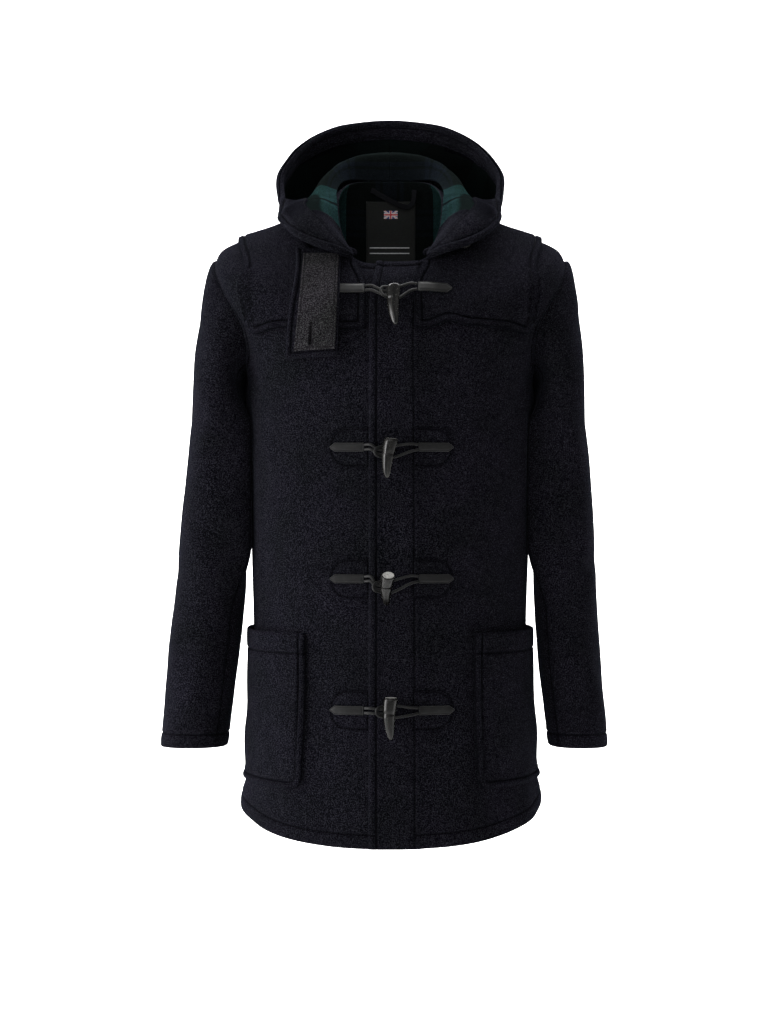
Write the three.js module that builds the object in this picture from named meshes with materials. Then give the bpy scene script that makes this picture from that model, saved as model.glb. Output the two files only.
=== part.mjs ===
// A hooded duffle coat as it hangs on a wearer's shoulders, in millimetres, +Z up.
// The front faces -Y, the wearer's left is +X. The origin is the centre of the neck at the height
// of the side neck points. Every piece of cloth is a closed wall worked out from the tables below.
import * as THREE from 'three';

// ---------------------------------------------------------------- driving sizes
const CLOTH = 3.0;            // heavy double-faced wool
const SEAM = 0.06;            // half a seam gap, in degrees round the body
const SHOULDER_SEAM = 0.02;   // the same at the shoulder seam
const LAP = 27;               // the fronts lap by this much on each side of the centre
const LAP_RISE = 3.6;         // the upper front lies this far above the under front
const YOKE_RISE = 1.6;        // clearance of the yoke above the panels
const SIDE_SEAM = 106;        // degrees from the front centre
const NECK = 2.0;             // level of the neckline
const ARMPIT = 1.0;           // level of the underarm
const SHOULDER = 1.5;         // level of the shoulder point
const POCKET_TOP = -574, POCKET_BOTTOM = -775, POCKET_FROM = 32, POCKET_TO = 99, POCKET_SAG = 8;
const HOOD_GAP = 9.4;         // the hood's inner face starts this far above the neck edge
const FACING = 2.0;           // thickness of the hood's rim facing
const FASTENING_Z = [-132, -334, -503, -671];
const TAB = { from: 33, to: 76, half: 5.8, thick: 2.4, point: 6 };
const PATCH = { from: 28.5, to: 77, half: 26, thick: 1.5, round: 26 };

// ---------------------------------------------------------------- tables
// A table holds named columns; at(k) gives every column at k by a monotone cubic through its rows.
function table(names, rows) {
  const n = rows.length;
  const slopes = names.map((_, c) => {
    const d = [];
    for (let i = 0; i < n - 1; i++) d.push((rows[i + 1][c] - rows[i][c]) / (rows[i + 1][0] - rows[i][0]));
    const m = [d[0]];
    for (let i = 1; i < n - 1; i++) m.push(d[i - 1] * d[i] <= 0 ? 0 : 2 * d[i - 1] * d[i] / (d[i - 1] + d[i]));
    m.push(d[n - 2]);
    return m;
  });
  return {
    rows,
    at(k) {
      const q = Math.min(rows[n - 1][0], Math.max(rows[0][0], k));
      let i = 0;
      while (i < n - 2 && q > rows[i + 1][0]) i++;
      const w = rows[i + 1][0] - rows[i][0], t = (q - rows[i][0]) / w;
      const a = 2 * t ** 3 - 3 * t ** 2 + 1, b = t ** 3 - 2 * t ** 2 + t, c = -2 * t ** 3 + 3 * t ** 2, d = t ** 3 - t ** 2;
      const out = {};
      names.forEach((name, j) => {
        out[name] = a * rows[i][j] + b * w * slopes[j][i] + c * rows[i + 1][j] + d * w * slopes[j][i + 1];
      });
      return out;
    },
  };
}

// The body, level by level from the hem up: half width and its depth and height at the side seam,
// then depth and height at the front and the back centre, squareness of the section, and how
// quickly the section drops from the side to the front.
const BODY = table(['h', 'xs', 'ys', 'zs', 'yf', 'zf', 'yb', 'zb', 'p', 'm'], [
  [0.00, 198, 5, -812, -158, -847, 152, -831, 2.35, 0.6],
  [0.12, 190, 5, -745, -154, -764, 146, -755, 2.35, 0.3],
  [0.25, 183, 5, -670, -149, -678, 138, -674, 2.35, 0],
  [0.40, 182, 5, -588, -143, -590, 130, -589, 2.35, 0],
  [0.60, 184.7, 5, -475, -140, -475, 123, -475, 2.35, 0],
  [0.80, 187, 5, -360, -138, -360, 119, -360, 2.35, 0],
  [1.00, 190, 5, -250, -137, -252, 120, -250, 2.40, 0],
  [1.25, 214, 8, -160, -131, -200, 121, -168, 2.50, 0.30],
  [1.38, 228, 9, -118, -124, -173, 120, -126, 2.50, 0.44],
  [1.48, 235, 10, -84, -118, -153, 118, -94, 2.50, 0.56],
  [1.54, 230, 10, -68, -114, -145, 116, -76, 2.48, 0.62],
  [1.62, 204, 9, -53, -107, -133, 112, -53, 2.45, 0.71],
  [1.78, 150, 7, -35, -93, -114, 101, -15, 2.50, 0.85],
  [2.00, 69, 2, 6, -70, -92, 82, 43, 3.20, 1.00],
]);

// The armhole from the underarm (t = 0) to the shoulder point (t = 1): degrees of its front and back edge.
const ARMHOLE = table(['t', 'front', 'back'], [
  [0.00, 106, 106], [0.06, 92, 112], [0.16, 78, 117], [0.32, 66, 120], [0.50, 62, 119],
  [0.68, 65, 115], [0.84, 73, 107], [0.94, 81, 99], [1.00, 90, 90],
]);

// The sleeves below the cap: outer and inner edge of each, front and back depth, squareness.
const SLEEVE_LEFT = table(['z', 'outer', 'inner', 'front', 'back', 'p'], [
  [-735, 292, 213, -76, 30, 2.3], [-673, 288, 206, -74, 37, 2.3], [-619, 284, 200, -73, 43, 2.3], [-565, 280, 196.5, -71, 49, 2.3],
  [-511, 276, 194.5, -69, 55, 2.3], [-403, 269, 194.0, -68, 65, 2.3], [-300, 262, 196.5, -70, 74, 2.3],
]);
const SLEEVE_RIGHT = table(['z', 'outer', 'inner', 'front', 'back', 'p'], [
  [-735, 308, 219, -76, 30, 2.3], [-673, 304, 211, -74, 37, 2.3], [-619, 300, 204.5, -73, 43, 2.3], [-565, 294.5, 199, -71, 49, 2.3],
  [-511, 289, 195.0, -69, 55, 2.3], [-403, 280, 194.5, -68, 65, 2.3], [-300, 269, 196.5, -70, 74, 2.3],
]);

// The yoke, column by column from its front end (u = 0) to the back centre (u = 1): degrees where the
// column starts at the neck, then degrees and level where it meets the lower edge.
const YOKE = table(['u', 'neck', 'th', 'h'], [
  [0.00, 30, 12, 1.36], [0.08, 36, 20, 1.352], [0.16, 42, 30, 1.335], [0.24, 48, 40, 1.300], [0.31, 54, 48.5, 1.262],
  [0.35, 58, 52, 1.262], [0.38, 62, 51.5, 1.33], [0.43, 67, 50, 1.41], [0.48, 72, 51.5, 1.50], [0.54, 78, 58, 1.575],
  [0.60, 84, 72, 1.612], [0.67, 90, 90, 1.620], [0.73, 97, 108, 1.612], [0.78, 105, 120, 1.580], [0.82, 113, 127, 1.50],
  [0.86, 122, 128.5, 1.40], [0.885, 129, 127.5, 1.32], [0.91, 136, 131, 1.295], [0.94, 146, 142, 1.295], [0.97, 163, 160, 1.298], [1.00, 180, 180, 1.30],
]);

// The hood, station by station from the front end (w = 0) to the back centre (w = 1), on the wearer's
// left: degrees of the neck seam, then crest of the stand, middle, bottom and outside of the bag, and rim.
const HOOD_ROWS = [
  [0.00, 31, 47, -67, -78, 48, -70, -77, 49, -73, -77, 50, -76, -79, 50, -80, -83],
  [0.10, 40, 58, -64, -64, 64, -72, -58, 69, -80, -58, 75, -91, -65, 78, -97, -76],
  [0.22, 58, 76, -50, -34, 90, -58, -27, 103, -68, -30, 115, -79, -42, 121, -83, -58],
  [0.36, 75, 91, -24, -3, 107, -24, -1, 125, -26, -4, 141, -31, -13, 148, -33, -25],
  [0.50, 92, 98, 16, 19, 112, 22, 12, 128, 28, 4, 143, 24, 8, 151, 14, 14],
  [0.62, 110, 94, 44, 40, 108, 62, 20, 130, 84, -14, 152, 66, 8, 153, 42, 44],
  [0.73, 125, 82, 72, 60, 96, 98, 8, 116, 128, -62, 144, 116, -8, 139, 68, 76],
  [0.83, 140, 66, 90, 75, 78, 120, 8, 90, 154, -104, 124, 162, -35, 116, 95, 104],
  [0.92, 160, 36, 100, 88, 42, 130, 12, 46, 166, -130, 66, 196, -50, 64, 121, 131],
  [1.00, 180, 0, 103, 91, 0, 132, 12, 0, 170, -138, 0, 206, -58, 0, 130, 139],
];
const HOOD_NAMES = ['w', 'seam', 'cx', 'cy', 'cz', 'mx', 'my', 'mz', 'bx', 'by', 'bz', 'ox', 'oy', 'oz', 'rx', 'ry', 'rz'];
const HOOD = table(HOOD_NAMES, HOOD_ROWS.concat(HOOD_ROWS.slice(0, -1).reverse().map((row) => row.map((v, c) => (
  c === 0 ? 2 - v : c === 1 ? 360 - v : (c - 2) % 3 === 0 ? -v : v)))));
const FACING_WIDTH = table(['w', 'width'], [[0, 8], [0.1, 24], [0.22, 46], [0.36, 46], [0.5, 36], [0.73, 29], [1, 28]]);

// A toggle from its cut top down to its tip: distance, radius.
const TOGGLE = table(['s', 'r'], [[0, 8.2], [3, 9.0], [12, 8.6], [24, 7.7], [36, 6.4], [45, 4.8], [50, 3.0], [52, 1.2]]);
// Where each toggle hangs: top and tip, x and z, and how far its top and tip stand off the cloth.
const TOGGLE_AT = [
  { top: [5, -137], tip: [7, -183], off: [24.0, 22.0] },
  { top: [2, -323], tip: [-4, -374], off: [22.7, 20.0] },
  { top: [-2, -497], tip: [-4, -536], off: [46, 15.5] },
  { top: [1, -654], tip: [1, -707], off: [22.7, 20.0] },
];

// ---------------------------------------------------------------- small helpers
const rad = (d) => d * Math.PI / 180;
const deg = (r) => r * 180 / Math.PI;
const clamp = (v, a, b) => Math.min(b, Math.max(a, v));
const lerp = (a, b, t) => a + (b - a) * t;
const smooth = (a, b, v) => { const t = clamp((v - a) / (b - a), 0, 1); return t * t * (3 - 2 * t); };
const vec = (x, y, z) => new THREE.Vector3(x, y, z);

function bodyPoint(th, h) {
  const r = BODY.at(h);
  const s = Math.sin(rad(th)), c = Math.cos(rad(th)), e = 2 / r.p;
  const ac = Math.abs(c), front = c >= 0;
  const f = (1 - r.m) * ac * ac + r.m * (1 - (1 - ac) ** 1.3);
  return vec(Math.sign(s) * r.xs * Math.abs(s) ** e,
    r.ys + ((front ? r.yf : r.yb) - r.ys) * ac ** e,
    r.zs + ((front ? r.zf : r.zb) - r.zs) * f);
}

function normalOf(fn, u, v, du, dv, u0, u1, v0, v1) {
  const a = fn(Math.min(u1, u + du), v).sub(fn(Math.max(u0, u - du), v));
  const b = fn(u, Math.min(v1, v + dv)).sub(fn(u, Math.max(v0, v - dv)));
  return a.cross(b).normalize();
}

const bodyNormal = (th, h) => normalOf(bodyPoint, th, h, 0.6, 0.012, -720, 720, 0, NECK);
const bodyOut = (th, h, off) => bodyPoint(th, h).addScaledVector(bodyNormal(th, h), off);
const thetaAtX = (x, h) => { const r = BODY.at(h); return Math.sign(x) * deg(Math.asin(Math.min(1, (Math.abs(x) / r.xs) ** (r.p / 2)))); };

function levelAtZ(th, z) {
  let a = 0, b = NECK;
  for (let i = 0; i < 30; i++) { const m = (a + b) / 2; if (bodyPoint(th, m).z < z) a = m; else b = m; }
  return (a + b) / 2;
}

// Degrees and level of the point of the front (or back) that shows at x, z.
function surfaceAt(x, z, back = false) {
  let a = SHOULDER, b = NECK;
  for (let i = 0; i < 30; i++) { const m = (a + b) / 2; if (BODY.at(m).xs > Math.abs(x)) a = m; else b = m; }
  const angle = (h) => (back ? 180 - thetaAtX(x, h) : thetaAtX(x, h));
  let lo = 0, hi = a;
  for (let i = 0; i < 34; i++) { const m = (lo + hi) / 2; if (bodyPoint(angle(m), m).z < z) lo = m; else hi = m; }
  return [angle(lo), lo];
}

// How far the topmost front panel's face stands above the body surface at x.
const panelTop = (x) => CLOTH + (x > -LAP - 0.5 ? LAP_RISE * (1 - smooth(LAP + 1, 50, x)) : 0);
const onFront = (x, z, off) => { const [th, h] = surfaceAt(x, z); return bodyOut(th, h, off); };

// A closed wall over a grid of nu by nv cells between two faces.
function wall(nu, nv, inner, outer, flip = () => false) {
  const pos = [], index = [];
  for (const face of [inner, outer]) {
    for (let i = 0; i <= nu; i++) for (let j = 0; j <= nv; j++) { const p = face(i / nu, j / nv, i, j); pos.push(p.x, p.y, p.z); }
  }
  const half = (nu + 1) * (nv + 1);
  const at = (f, i, j) => f * half + i * (nv + 1) + j;
  const quad = (a, b, c, d) => { index.push(a, b, c, a, c, d); };
  for (let i = 0; i < nu; i++) for (let j = 0; j < nv; j++) {
    if (flip(i, j)) {
      quad(at(1, i + 1, j), at(1, i + 1, j + 1), at(1, i, j + 1), at(1, i, j));
      quad(at(0, i + 1, j), at(0, i, j), at(0, i, j + 1), at(0, i + 1, j + 1));
    } else {
      quad(at(1, i, j), at(1, i + 1, j), at(1, i + 1, j + 1), at(1, i, j + 1));
      index.push(at(0, i, j), at(0, i + 1, j + 1), at(0, i + 1, j), at(0, i, j), at(0, i, j + 1), at(0, i + 1, j + 1));
    }
  }
  for (let i = 0; i < nu; i++) {
    quad(at(0, i, 0), at(0, i + 1, 0), at(1, i + 1, 0), at(1, i, 0));
    quad(at(0, i + 1, nv), at(0, i, nv), at(1, i, nv), at(1, i + 1, nv));
  }
  for (let j = 0; j < nv; j++) {
    quad(at(0, 0, j + 1), at(0, 0, j), at(1, 0, j), at(1, 0, j + 1));
    quad(at(0, nu, j), at(0, nu, j + 1), at(1, nu, j + 1), at(1, nu, j));
  }
  return closed(pos, index);
}

// Turns a closed mesh's faces outwards.
function closed(pos, index) {
  let volume = 0;
  const v = (i) => vec(pos[3 * i], pos[3 * i + 1], pos[3 * i + 2]);
  for (let k = 0; k < index.length; k += 3) volume += v(index[k]).dot(v(index[k + 1]).cross(v(index[k + 2])));
  if (volume < 0) for (let k = 0; k < index.length; k += 3) [index[k + 1], index[k + 2]] = [index[k + 2], index[k + 1]];
  const g = new THREE.BufferGeometry();
  g.setAttribute('position', new THREE.Float32BufferAttribute(pos, 3));
  g.setIndex(index);
  g.computeVertexNormals();
  return g;
}

// A closed tube of an oval section along points; hint is the direction of the section's short axis.
function tube(points, wide, deep, sides, steps, hint) {
  const curve = new THREE.CatmullRomCurve3(points, false, 'centripetal');
  const pos = [], index = [];
  for (let i = 0; i <= steps; i++) {
    const p = curve.getPointAt(i / steps), t = curve.getTangentAt(i / steps);
    const n = hint.clone().addScaledVector(t, -hint.dot(t)).normalize(), b = t.clone().cross(n);
    for (let k = 0; k < sides; k++) {
      const a = 2 * Math.PI * (k + 0.5) / sides;
      const q = p.clone().addScaledVector(n, deep * Math.sin(a)).addScaledVector(b, wide * Math.cos(a));
      pos.push(q.x, q.y, q.z);
    }
  }
  for (let i = 0; i < steps; i++) for (let k = 0; k < sides; k++) {
    const a = i * sides + k, b = i * sides + (k + 1) % sides;
    index.push(a, b, b + sides, a, b + sides, a + sides);
  }
  for (let k = 1; k < sides - 1; k++) {
    index.push(0, k + 1, k);
    const e = steps * sides; index.push(e, e + k, e + k + 1);
  }
  return closed(pos, index);
}

// ---------------------------------------------------------------- materials
const MATERIALS = {
  wool: new THREE.MeshStandardMaterial({ color: 0x101219, roughness: 0.95, metalness: 0 }),
  felt: new THREE.MeshStandardMaterial({ color: 0x2a2b30, roughness: 0.97, metalness: 0 }),
  leather: new THREE.MeshStandardMaterial({ color: 0x111112, roughness: 0.5, metalness: 0 }),
  horn: new THREE.MeshStandardMaterial({ color: 0x17181a, roughness: 0.2, metalness: 0 }),
  satin: new THREE.MeshStandardMaterial({ color: 0x0e0f10, roughness: 0.45, metalness: 0 }),
  tape: new THREE.MeshStandardMaterial({ color: 0x17181c, roughness: 0.8, metalness: 0 }),
  button: new THREE.MeshStandardMaterial({ color: 0x121214, roughness: 0.25, metalness: 0 }),
};
const coat = new THREE.Group();
function add(name, geometry, kind) {
  const mesh = new THREE.Mesh(geometry, MATERIALS[kind].clone());
  mesh.name = name;
  coat.add(mesh);
}

// ---------------------------------------------------------------- fronts and back
const ROWS = [0, 0.12, 0.25, 0.4, 0.6, 0.8, 1.0, 1.03, 1.08, 1.16, 1.25, 1.34, 1.42, 1.47, 1.5, 1.55, 1.63, 1.74, 1.86, 2.0];
const NV = ROWS.length - 1;
function edgeAngle(h, which) {
  if (h <= ARMPIT) return SIDE_SEAM;
  if (h >= SHOULDER) return 90;
  return ARMHOLE.at((h - ARMPIT) / (SHOULDER - ARMPIT))[which];
}
const gapAt = (h) => (h > 1.48 ? SHOULDER_SEAM : SEAM);

// Both fronts: columns at fixed x across the lap, then evenly round to the side seam or armhole.
function frontAngle(i, n, h, edge) {
  const across = [edge, -9, 9, LAP, 38, 50];
  if (i < across.length) return thetaAtX(across[i], h);
  const a = thetaAtX(50, h), b = edgeAngle(h, 'front') - gapAt(h);
  return lerp(a, b, (i - across.length + 1) / (n - across.length + 1));
}
const NU_FRONT = 12;
const upperEdge = (h) => -LAP + 8.5 * smooth(1.45, 2.0, h);
const frontLeft = (off) => (u, v, i, j) => {
  const h = ROWS[j], th = frontAngle(i, NU_FRONT, h, upperEdge(h));
  const x = bodyPoint(th, h).x;
  return bodyOut(th, h, off + (panelTop(x) - CLOTH));
};
const frontRight = (off) => (u, v, i, j) => {
  const h = ROWS[j], th = -frontAngle(i, NU_FRONT, h, -LAP);
  return bodyOut(th, h, off);
};
add('front_left', wall(NU_FRONT, NV, frontLeft(0), frontLeft(CLOTH)), 'wool');
add('front_right', wall(NU_FRONT, NV, frontRight(0), frontRight(CLOTH)), 'wool');

const backFace = (off) => (u, v, i, j) => {
  const h = ROWS[j], e = edgeAngle(h, 'back') + gapAt(h);
  return bodyOut(lerp(e, 360 - e, u), h, off);
};
add('back', wall(14, NV, backFace(0), backFace(CLOTH)), 'wool');

// ---------------------------------------------------------------- sleeves
// k runs 0..1 over the cap, from the armhole to z = -300, and 1..2 down to the cuff.
const CAP_Z = -300, CUFF_Z = -735;
function armholePoint(phi) {
  const a = ((phi % 360) + 360) % 360, t = (1 + Math.cos(rad(a))) / 2;
  const row = ARMHOLE.at(t), front = a <= 180;
  const h = ARMPIT + (SHOULDER - ARMPIT) * t;
  const p = bodyOut(front ? row.front : row.back, h, CLOTH);
  const hole = vec(214, 8, -160);
  return p.add(hole.sub(p).normalize().multiplyScalar(0.7));
}
// The upper arm lies against the coat's side: its inner front corner wraps a little round it.
function sleeveSection(tab, phi, z) {
  const r = tab.at(z), c = Math.cos(rad(phi)), s = Math.sin(rad(phi)), e = 2 / r.p;
  const turn = Math.abs((((phi % 360) + 360) % 360) - 132) / 46;
  const hug = turn < 1 ? lerp(17, 20.5, smooth(-320, -400, z)) * Math.cos(Math.PI / 2 * turn) ** 2 * smooth(-515, -455, z) : 0;
  return vec((r.outer + r.inner) / 2 + (r.outer - r.inner) / 2 * Math.sign(c) * Math.abs(c) ** e - hug,
    (r.front + r.back) / 2 - (r.back - r.front) / 2 * Math.sign(s) * Math.abs(s) ** e, z);
}
const sleevePoint = (tab) => (phi, k) => {
  if (k >= 1) return sleeveSection(tab, phi, lerp(CAP_Z, CUFF_Z, k - 1));
  const c = Math.cos(rad(phi)), s = Math.sin(rad(phi));
  const a = armholePoint(phi), b = sleeveSection(tab, phi, CAP_Z);
  const m = a.clone().add(vec(45 + 8.5 * c - 28.5 * c * c, -22 * s, -33 - 7 * c + 27 * c * c));
  return a.multiplyScalar((1 - k) ** 2).addScaledVector(m, 2 * k * (1 - k)).addScaledVector(b, k * k);
};
const ROUND = [0, 0.06, 0.16, 0.32, 0.5, 0.68, 0.84, 0.94, 1].map((t) => deg(Math.acos(2 * t - 1))).reverse();
const AROUND = ROUND.concat(ROUND.slice(1, -1).reverse().map((a) => 360 - a));   // 16 angles from 0
const DOWN = [0, 0.1, 0.24, 0.4, 0.58, 0.78, 1, 1.2, 1.4, 1.6, 1.8, 2];
function sleevePiece(tab, side, list) {
  const fn = sleevePoint(tab);
  const face = (depth) => (u, v, i, j) => {
    const phi = list[i], k = DOWN[j];
    const n = normalOf(fn, phi, k, 2, 0.03, -720, 720, 0, 2);
    const p = fn(phi, k).addScaledVector(n, depth);
    return vec(side * p.x, p.y, p.z);
  };
  return wall(list.length - 1, DOWN.length - 1, face(0), face(-CLOTH));
}
// The seams are at the front and back of the inside of the arm.
const seamGap = 0.35;
const upperList = AROUND.slice(10).map((a) => a - 360).concat(AROUND.slice(0, 7));
upperList[0] += seamGap; upperList[upperList.length - 1] -= seamGap;
const underList = AROUND.slice(6, 11);
underList[0] += seamGap; underList[underList.length - 1] -= seamGap;
for (const [name, tab, side] of [['left', SLEEVE_LEFT, 1], ['right', SLEEVE_RIGHT, -1]]) {
  add(`sleeve_upper_${name}`, sleevePiece(tab, side, upperList), 'wool');
  add(`sleeve_under_${name}`, sleevePiece(tab, side, underList), 'wool');
}

// ---------------------------------------------------------------- yoke
const yokeTop = (u) => lerp(1.965, 1.86, smooth(0.05, 0.4, u));
const YOKE_US = YOKE.rows.map((row) => row[0]);
const NY = 2 * (YOKE_US.length - 1), NR = 6;
const yokeFace = (off) => (q, v, i, j) => {
  const right = i > NY / 2, k = right ? NY - i : i, u = YOKE_US[k], row = YOKE.at(u), t = j / NR;
  let th, h;
  if (k === 0) {
    // the front ends are straight, 31 mm from the centre, and slant away to the neck
    const z = lerp(-176, -92, t);
    [th, h] = surfaceAt(31 + 12 * smooth(-122, -92, z), z);
  } else {
    h = lerp(row.h, yokeTop(u), t); th = lerp(row.th, row.neck, t ** 1.15);
  }
  const rise = right || u > 0.5 ? CLOTH : panelTop(bodyPoint(th, h).x);
  const p = bodyOut(th, h, rise + YOKE_RISE + 1.8 * smooth(0.5, 0.78, u) + off);
  return right ? vec(-p.x, p.y, p.z) : p;
};
add('yoke', wall(NY, NR, yokeFace(0), yokeFace(CLOTH), (i) => i >= NY / 2), 'wool');

// ---------------------------------------------------------------- hood
function hoodProfile(w) {
  const r = HOOD.at(w);
  const seam = bodyOut(r.seam, NECK, HOOD_GAP);
  const pts = [seam, vec(r.cx, r.cy, r.cz), vec(r.mx, r.my, r.mz), vec(r.bx, r.by, r.bz), vec(r.ox, r.oy, r.oz), vec(r.rx, r.ry, r.rz)];
  const curve = new THREE.CatmullRomCurve3(pts, false, 'centripetal');
  curve.arcLengthDivisions = 120;
  return curve;
}
const hoodCache = new Map();
const profileAt = (w) => { const k = w.toFixed(5); if (!hoodCache.has(k)) hoodCache.set(k, hoodProfile(w)); return hoodCache.get(k); };
const BAG = [0, 0.09, 0.18, 0.3, 0.43, 0.57, 0.71, 0.85, 1];
// v runs 0..1 from the seam to the facing's edge and 1..2 over the facing to the rim.
function hoodPoint(w, v) {
  const curve = profileAt(w), length = curve.getLength();
  const width = Math.min(FACING_WIDTH.at(w > 1 ? 2 - w : w).width, length * 0.75);
  const s = v <= 1 ? v * (length - width) : length - width + (v - 1) * width;
  return curve.getPointAt(clamp(s / length, 0, 1));
}
const hoodNormal = (w, v) => normalOf(hoodPoint, w, v, 0.006, 0.02, 0, 2, 0, 2);
const WS = [0, 0.05, 0.1, 0.16, 0.22, 0.29, 0.36, 0.43, 0.5, 0.56, 0.62, 0.675, 0.73, 0.78, 0.83, 0.875, 0.92, 0.96, 1];
const VS = BAG.concat([1.5, 2]);
const hoodFace = (half, off) => (u, v, i, j) => {
  const w = half > 0 ? WS[i] : 2 - WS[WS.length - 1 - i];
  const p = hoodPoint(w, VS[j]).addScaledVector(hoodNormal(w, VS[j]), off);
  if (w === 1) p.x += half * 0.2;
  return p;
};
add('hood_left', wall(WS.length - 1, VS.length - 1, hoodFace(1, 0), hoodFace(1, CLOTH)), 'wool');
add('hood_right', wall(WS.length - 1, VS.length - 1, hoodFace(-1, 0), hoodFace(-1, CLOTH)), 'wool');
const ALL = WS.concat(WS.slice(0, -1).reverse().map((w) => 2 - w));
const facingFace = (off) => (u, v, i, j) => {
  const w = ALL[i], q = 1 + v;
  return hoodPoint(w, q).addScaledVector(hoodNormal(w, q), off);
};
add('hood_facing', wall(ALL.length - 1, 2, facingFace(-0.5), facingFace(-0.5 - FACING)), 'wool');

// ---------------------------------------------------------------- throat tab and its button
const tabFace = (inset, off) => (u, v) => {
  const z = lerp(-78 - inset, -217 + 0.75 * inset, v);
  const left = lerp(-122, -127, v) + inset, right = lerp(-64, -66, v) - 0.3 * inset;
  return onFront(lerp(left, right, u), z, CLOTH + YOKE_RISE + CLOTH + off);
};
add('throat_tab_wool', wall(5, 7, tabFace(0, 4.3), tabFace(0, 4.3 + CLOTH)), 'wool');
add('throat_tab_felt', wall(5, 7, tabFace(9, 4.8 + CLOTH), tabFace(9, 6.5 + CLOTH)), 'felt');
function disc(radius, thick, sides, place) {
  const pos = [], index = [];
  const rings = [[0, 0], [radius - 1, 0], [radius, 1], [radius, thick - 1], [radius - 1.5, thick], [0, thick - 0.8]];
  const start = [];
  for (const [r, t] of rings) {
    start.push(pos.length / 3);
    const n = r === 0 ? 1 : sides;
    for (let k = 0; k < n; k++) { const a = 2 * Math.PI * k / sides; const p = place(r * Math.cos(a), r * Math.sin(a), t); pos.push(p.x, p.y, p.z); }
  }
  for (let q = 0; q < rings.length - 1; q++) for (let k = 0; k < sides; k++) {
    const k1 = (k + 1) % sides, a = start[q], b = start[q + 1];
    if (rings[q][0] === 0) index.push(a, b + k1, b + k);
    else if (rings[q + 1][0] === 0) index.push(a + k, a + k1, b);
    else index.push(a + k, a + k1, b + k1, a + k, b + k1, b + k);
  }
  return closed(pos, index);
}
const buttonAt = onFront(96, -66, CLOTH + YOKE_RISE + CLOTH + 1.3);
const buttonN = (() => { const [th, h] = surfaceAt(96, -66); return bodyNormal(th, h); })();
const buttonU = vec(0, 0, 1).addScaledVector(buttonN, -buttonN.z).normalize(), buttonV = buttonN.clone().cross(buttonU);
add('throat_button', disc(10, 3.6, 16, (a, b, t) => buttonAt.clone().addScaledVector(buttonU, a).addScaledVector(buttonV, b).addScaledVector(buttonN, t)), 'button');

// ---------------------------------------------------------------- pockets
const pocketFace = (side, off) => (u, v, i, j) => {
  const th = lerp(POCKET_FROM, POCKET_TO, u);
  const corner = 14;
  let bottom = POCKET_BOTTOM;
  if (u < 0.08) bottom += corner * (1 - Math.sqrt(1 - (1 - u / 0.08) ** 2));
  const z = lerp(bottom, POCKET_TOP, v);
  const h = levelAtZ(th, z);
  const sag = POCKET_SAG * Math.sin(Math.PI * clamp(u, 0, 1)) ** 0.6 * smooth(0, 0.35, v) * (1 - 0.15 * v);
  const p = bodyOut(th, h, CLOTH + 1.0 + sag + off);
  return vec(side * p.x, p.y, p.z);
};
const pocketU = [0, 0.025, 0.08, 0.2, 0.35, 0.5, 0.65, 0.8, 0.92, 1];
const pocketV = [0, 0.12, 0.28, 0.5, 0.75, 1];
for (const [name, side] of [['left', 1], ['right', -1]]) {
  const at = (off) => (u, v, i, j) => pocketFace(side, off)(pocketU[i], pocketV[j]);
  add(`pocket_${name}`, wall(pocketU.length - 1, pocketV.length - 1, at(0), at(CLOTH)), 'wool');
}

// ---------------------------------------------------------------- label and hanger loop inside the back
const onBack = (x, z, off) => { const [th, h] = surfaceAt(x, z, true); return bodyOut(th, h, off); };
const labelFace = (off) => (u, v) => onBack(lerp(-34, 36, u), lerp(-68, 17, v), off);
add('label', wall(4, 4, labelFace(-1.8), labelFace(-2.8)), 'satin');
const LOOP_PATH = [[-27, 33], [-12, 25.5], [4, 17.5], [18, 11.5], [27, 11], [33, 17], [35, 33]];
const hangerCurve = new THREE.CatmullRomCurve3(LOOP_PATH.map(([x, z]) => vec(x, 0, z)), false, 'centripetal');
const hangerFace = (off) => (u, v) => {
  const p = hangerCurve.getPointAt(v), t = hangerCurve.getTangentAt(v);
  const x = p.x + (u - 0.5) * 7 * -t.z, z = p.z + (u - 0.5) * 7 * t.x;
  return onBack(x, z, off - 5.5 * Math.sin(Math.PI * v));
};
add('hanger_loop', wall(1, 14, hangerFace(-3.4), hangerFace(-4.8)), 'tape');

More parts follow.
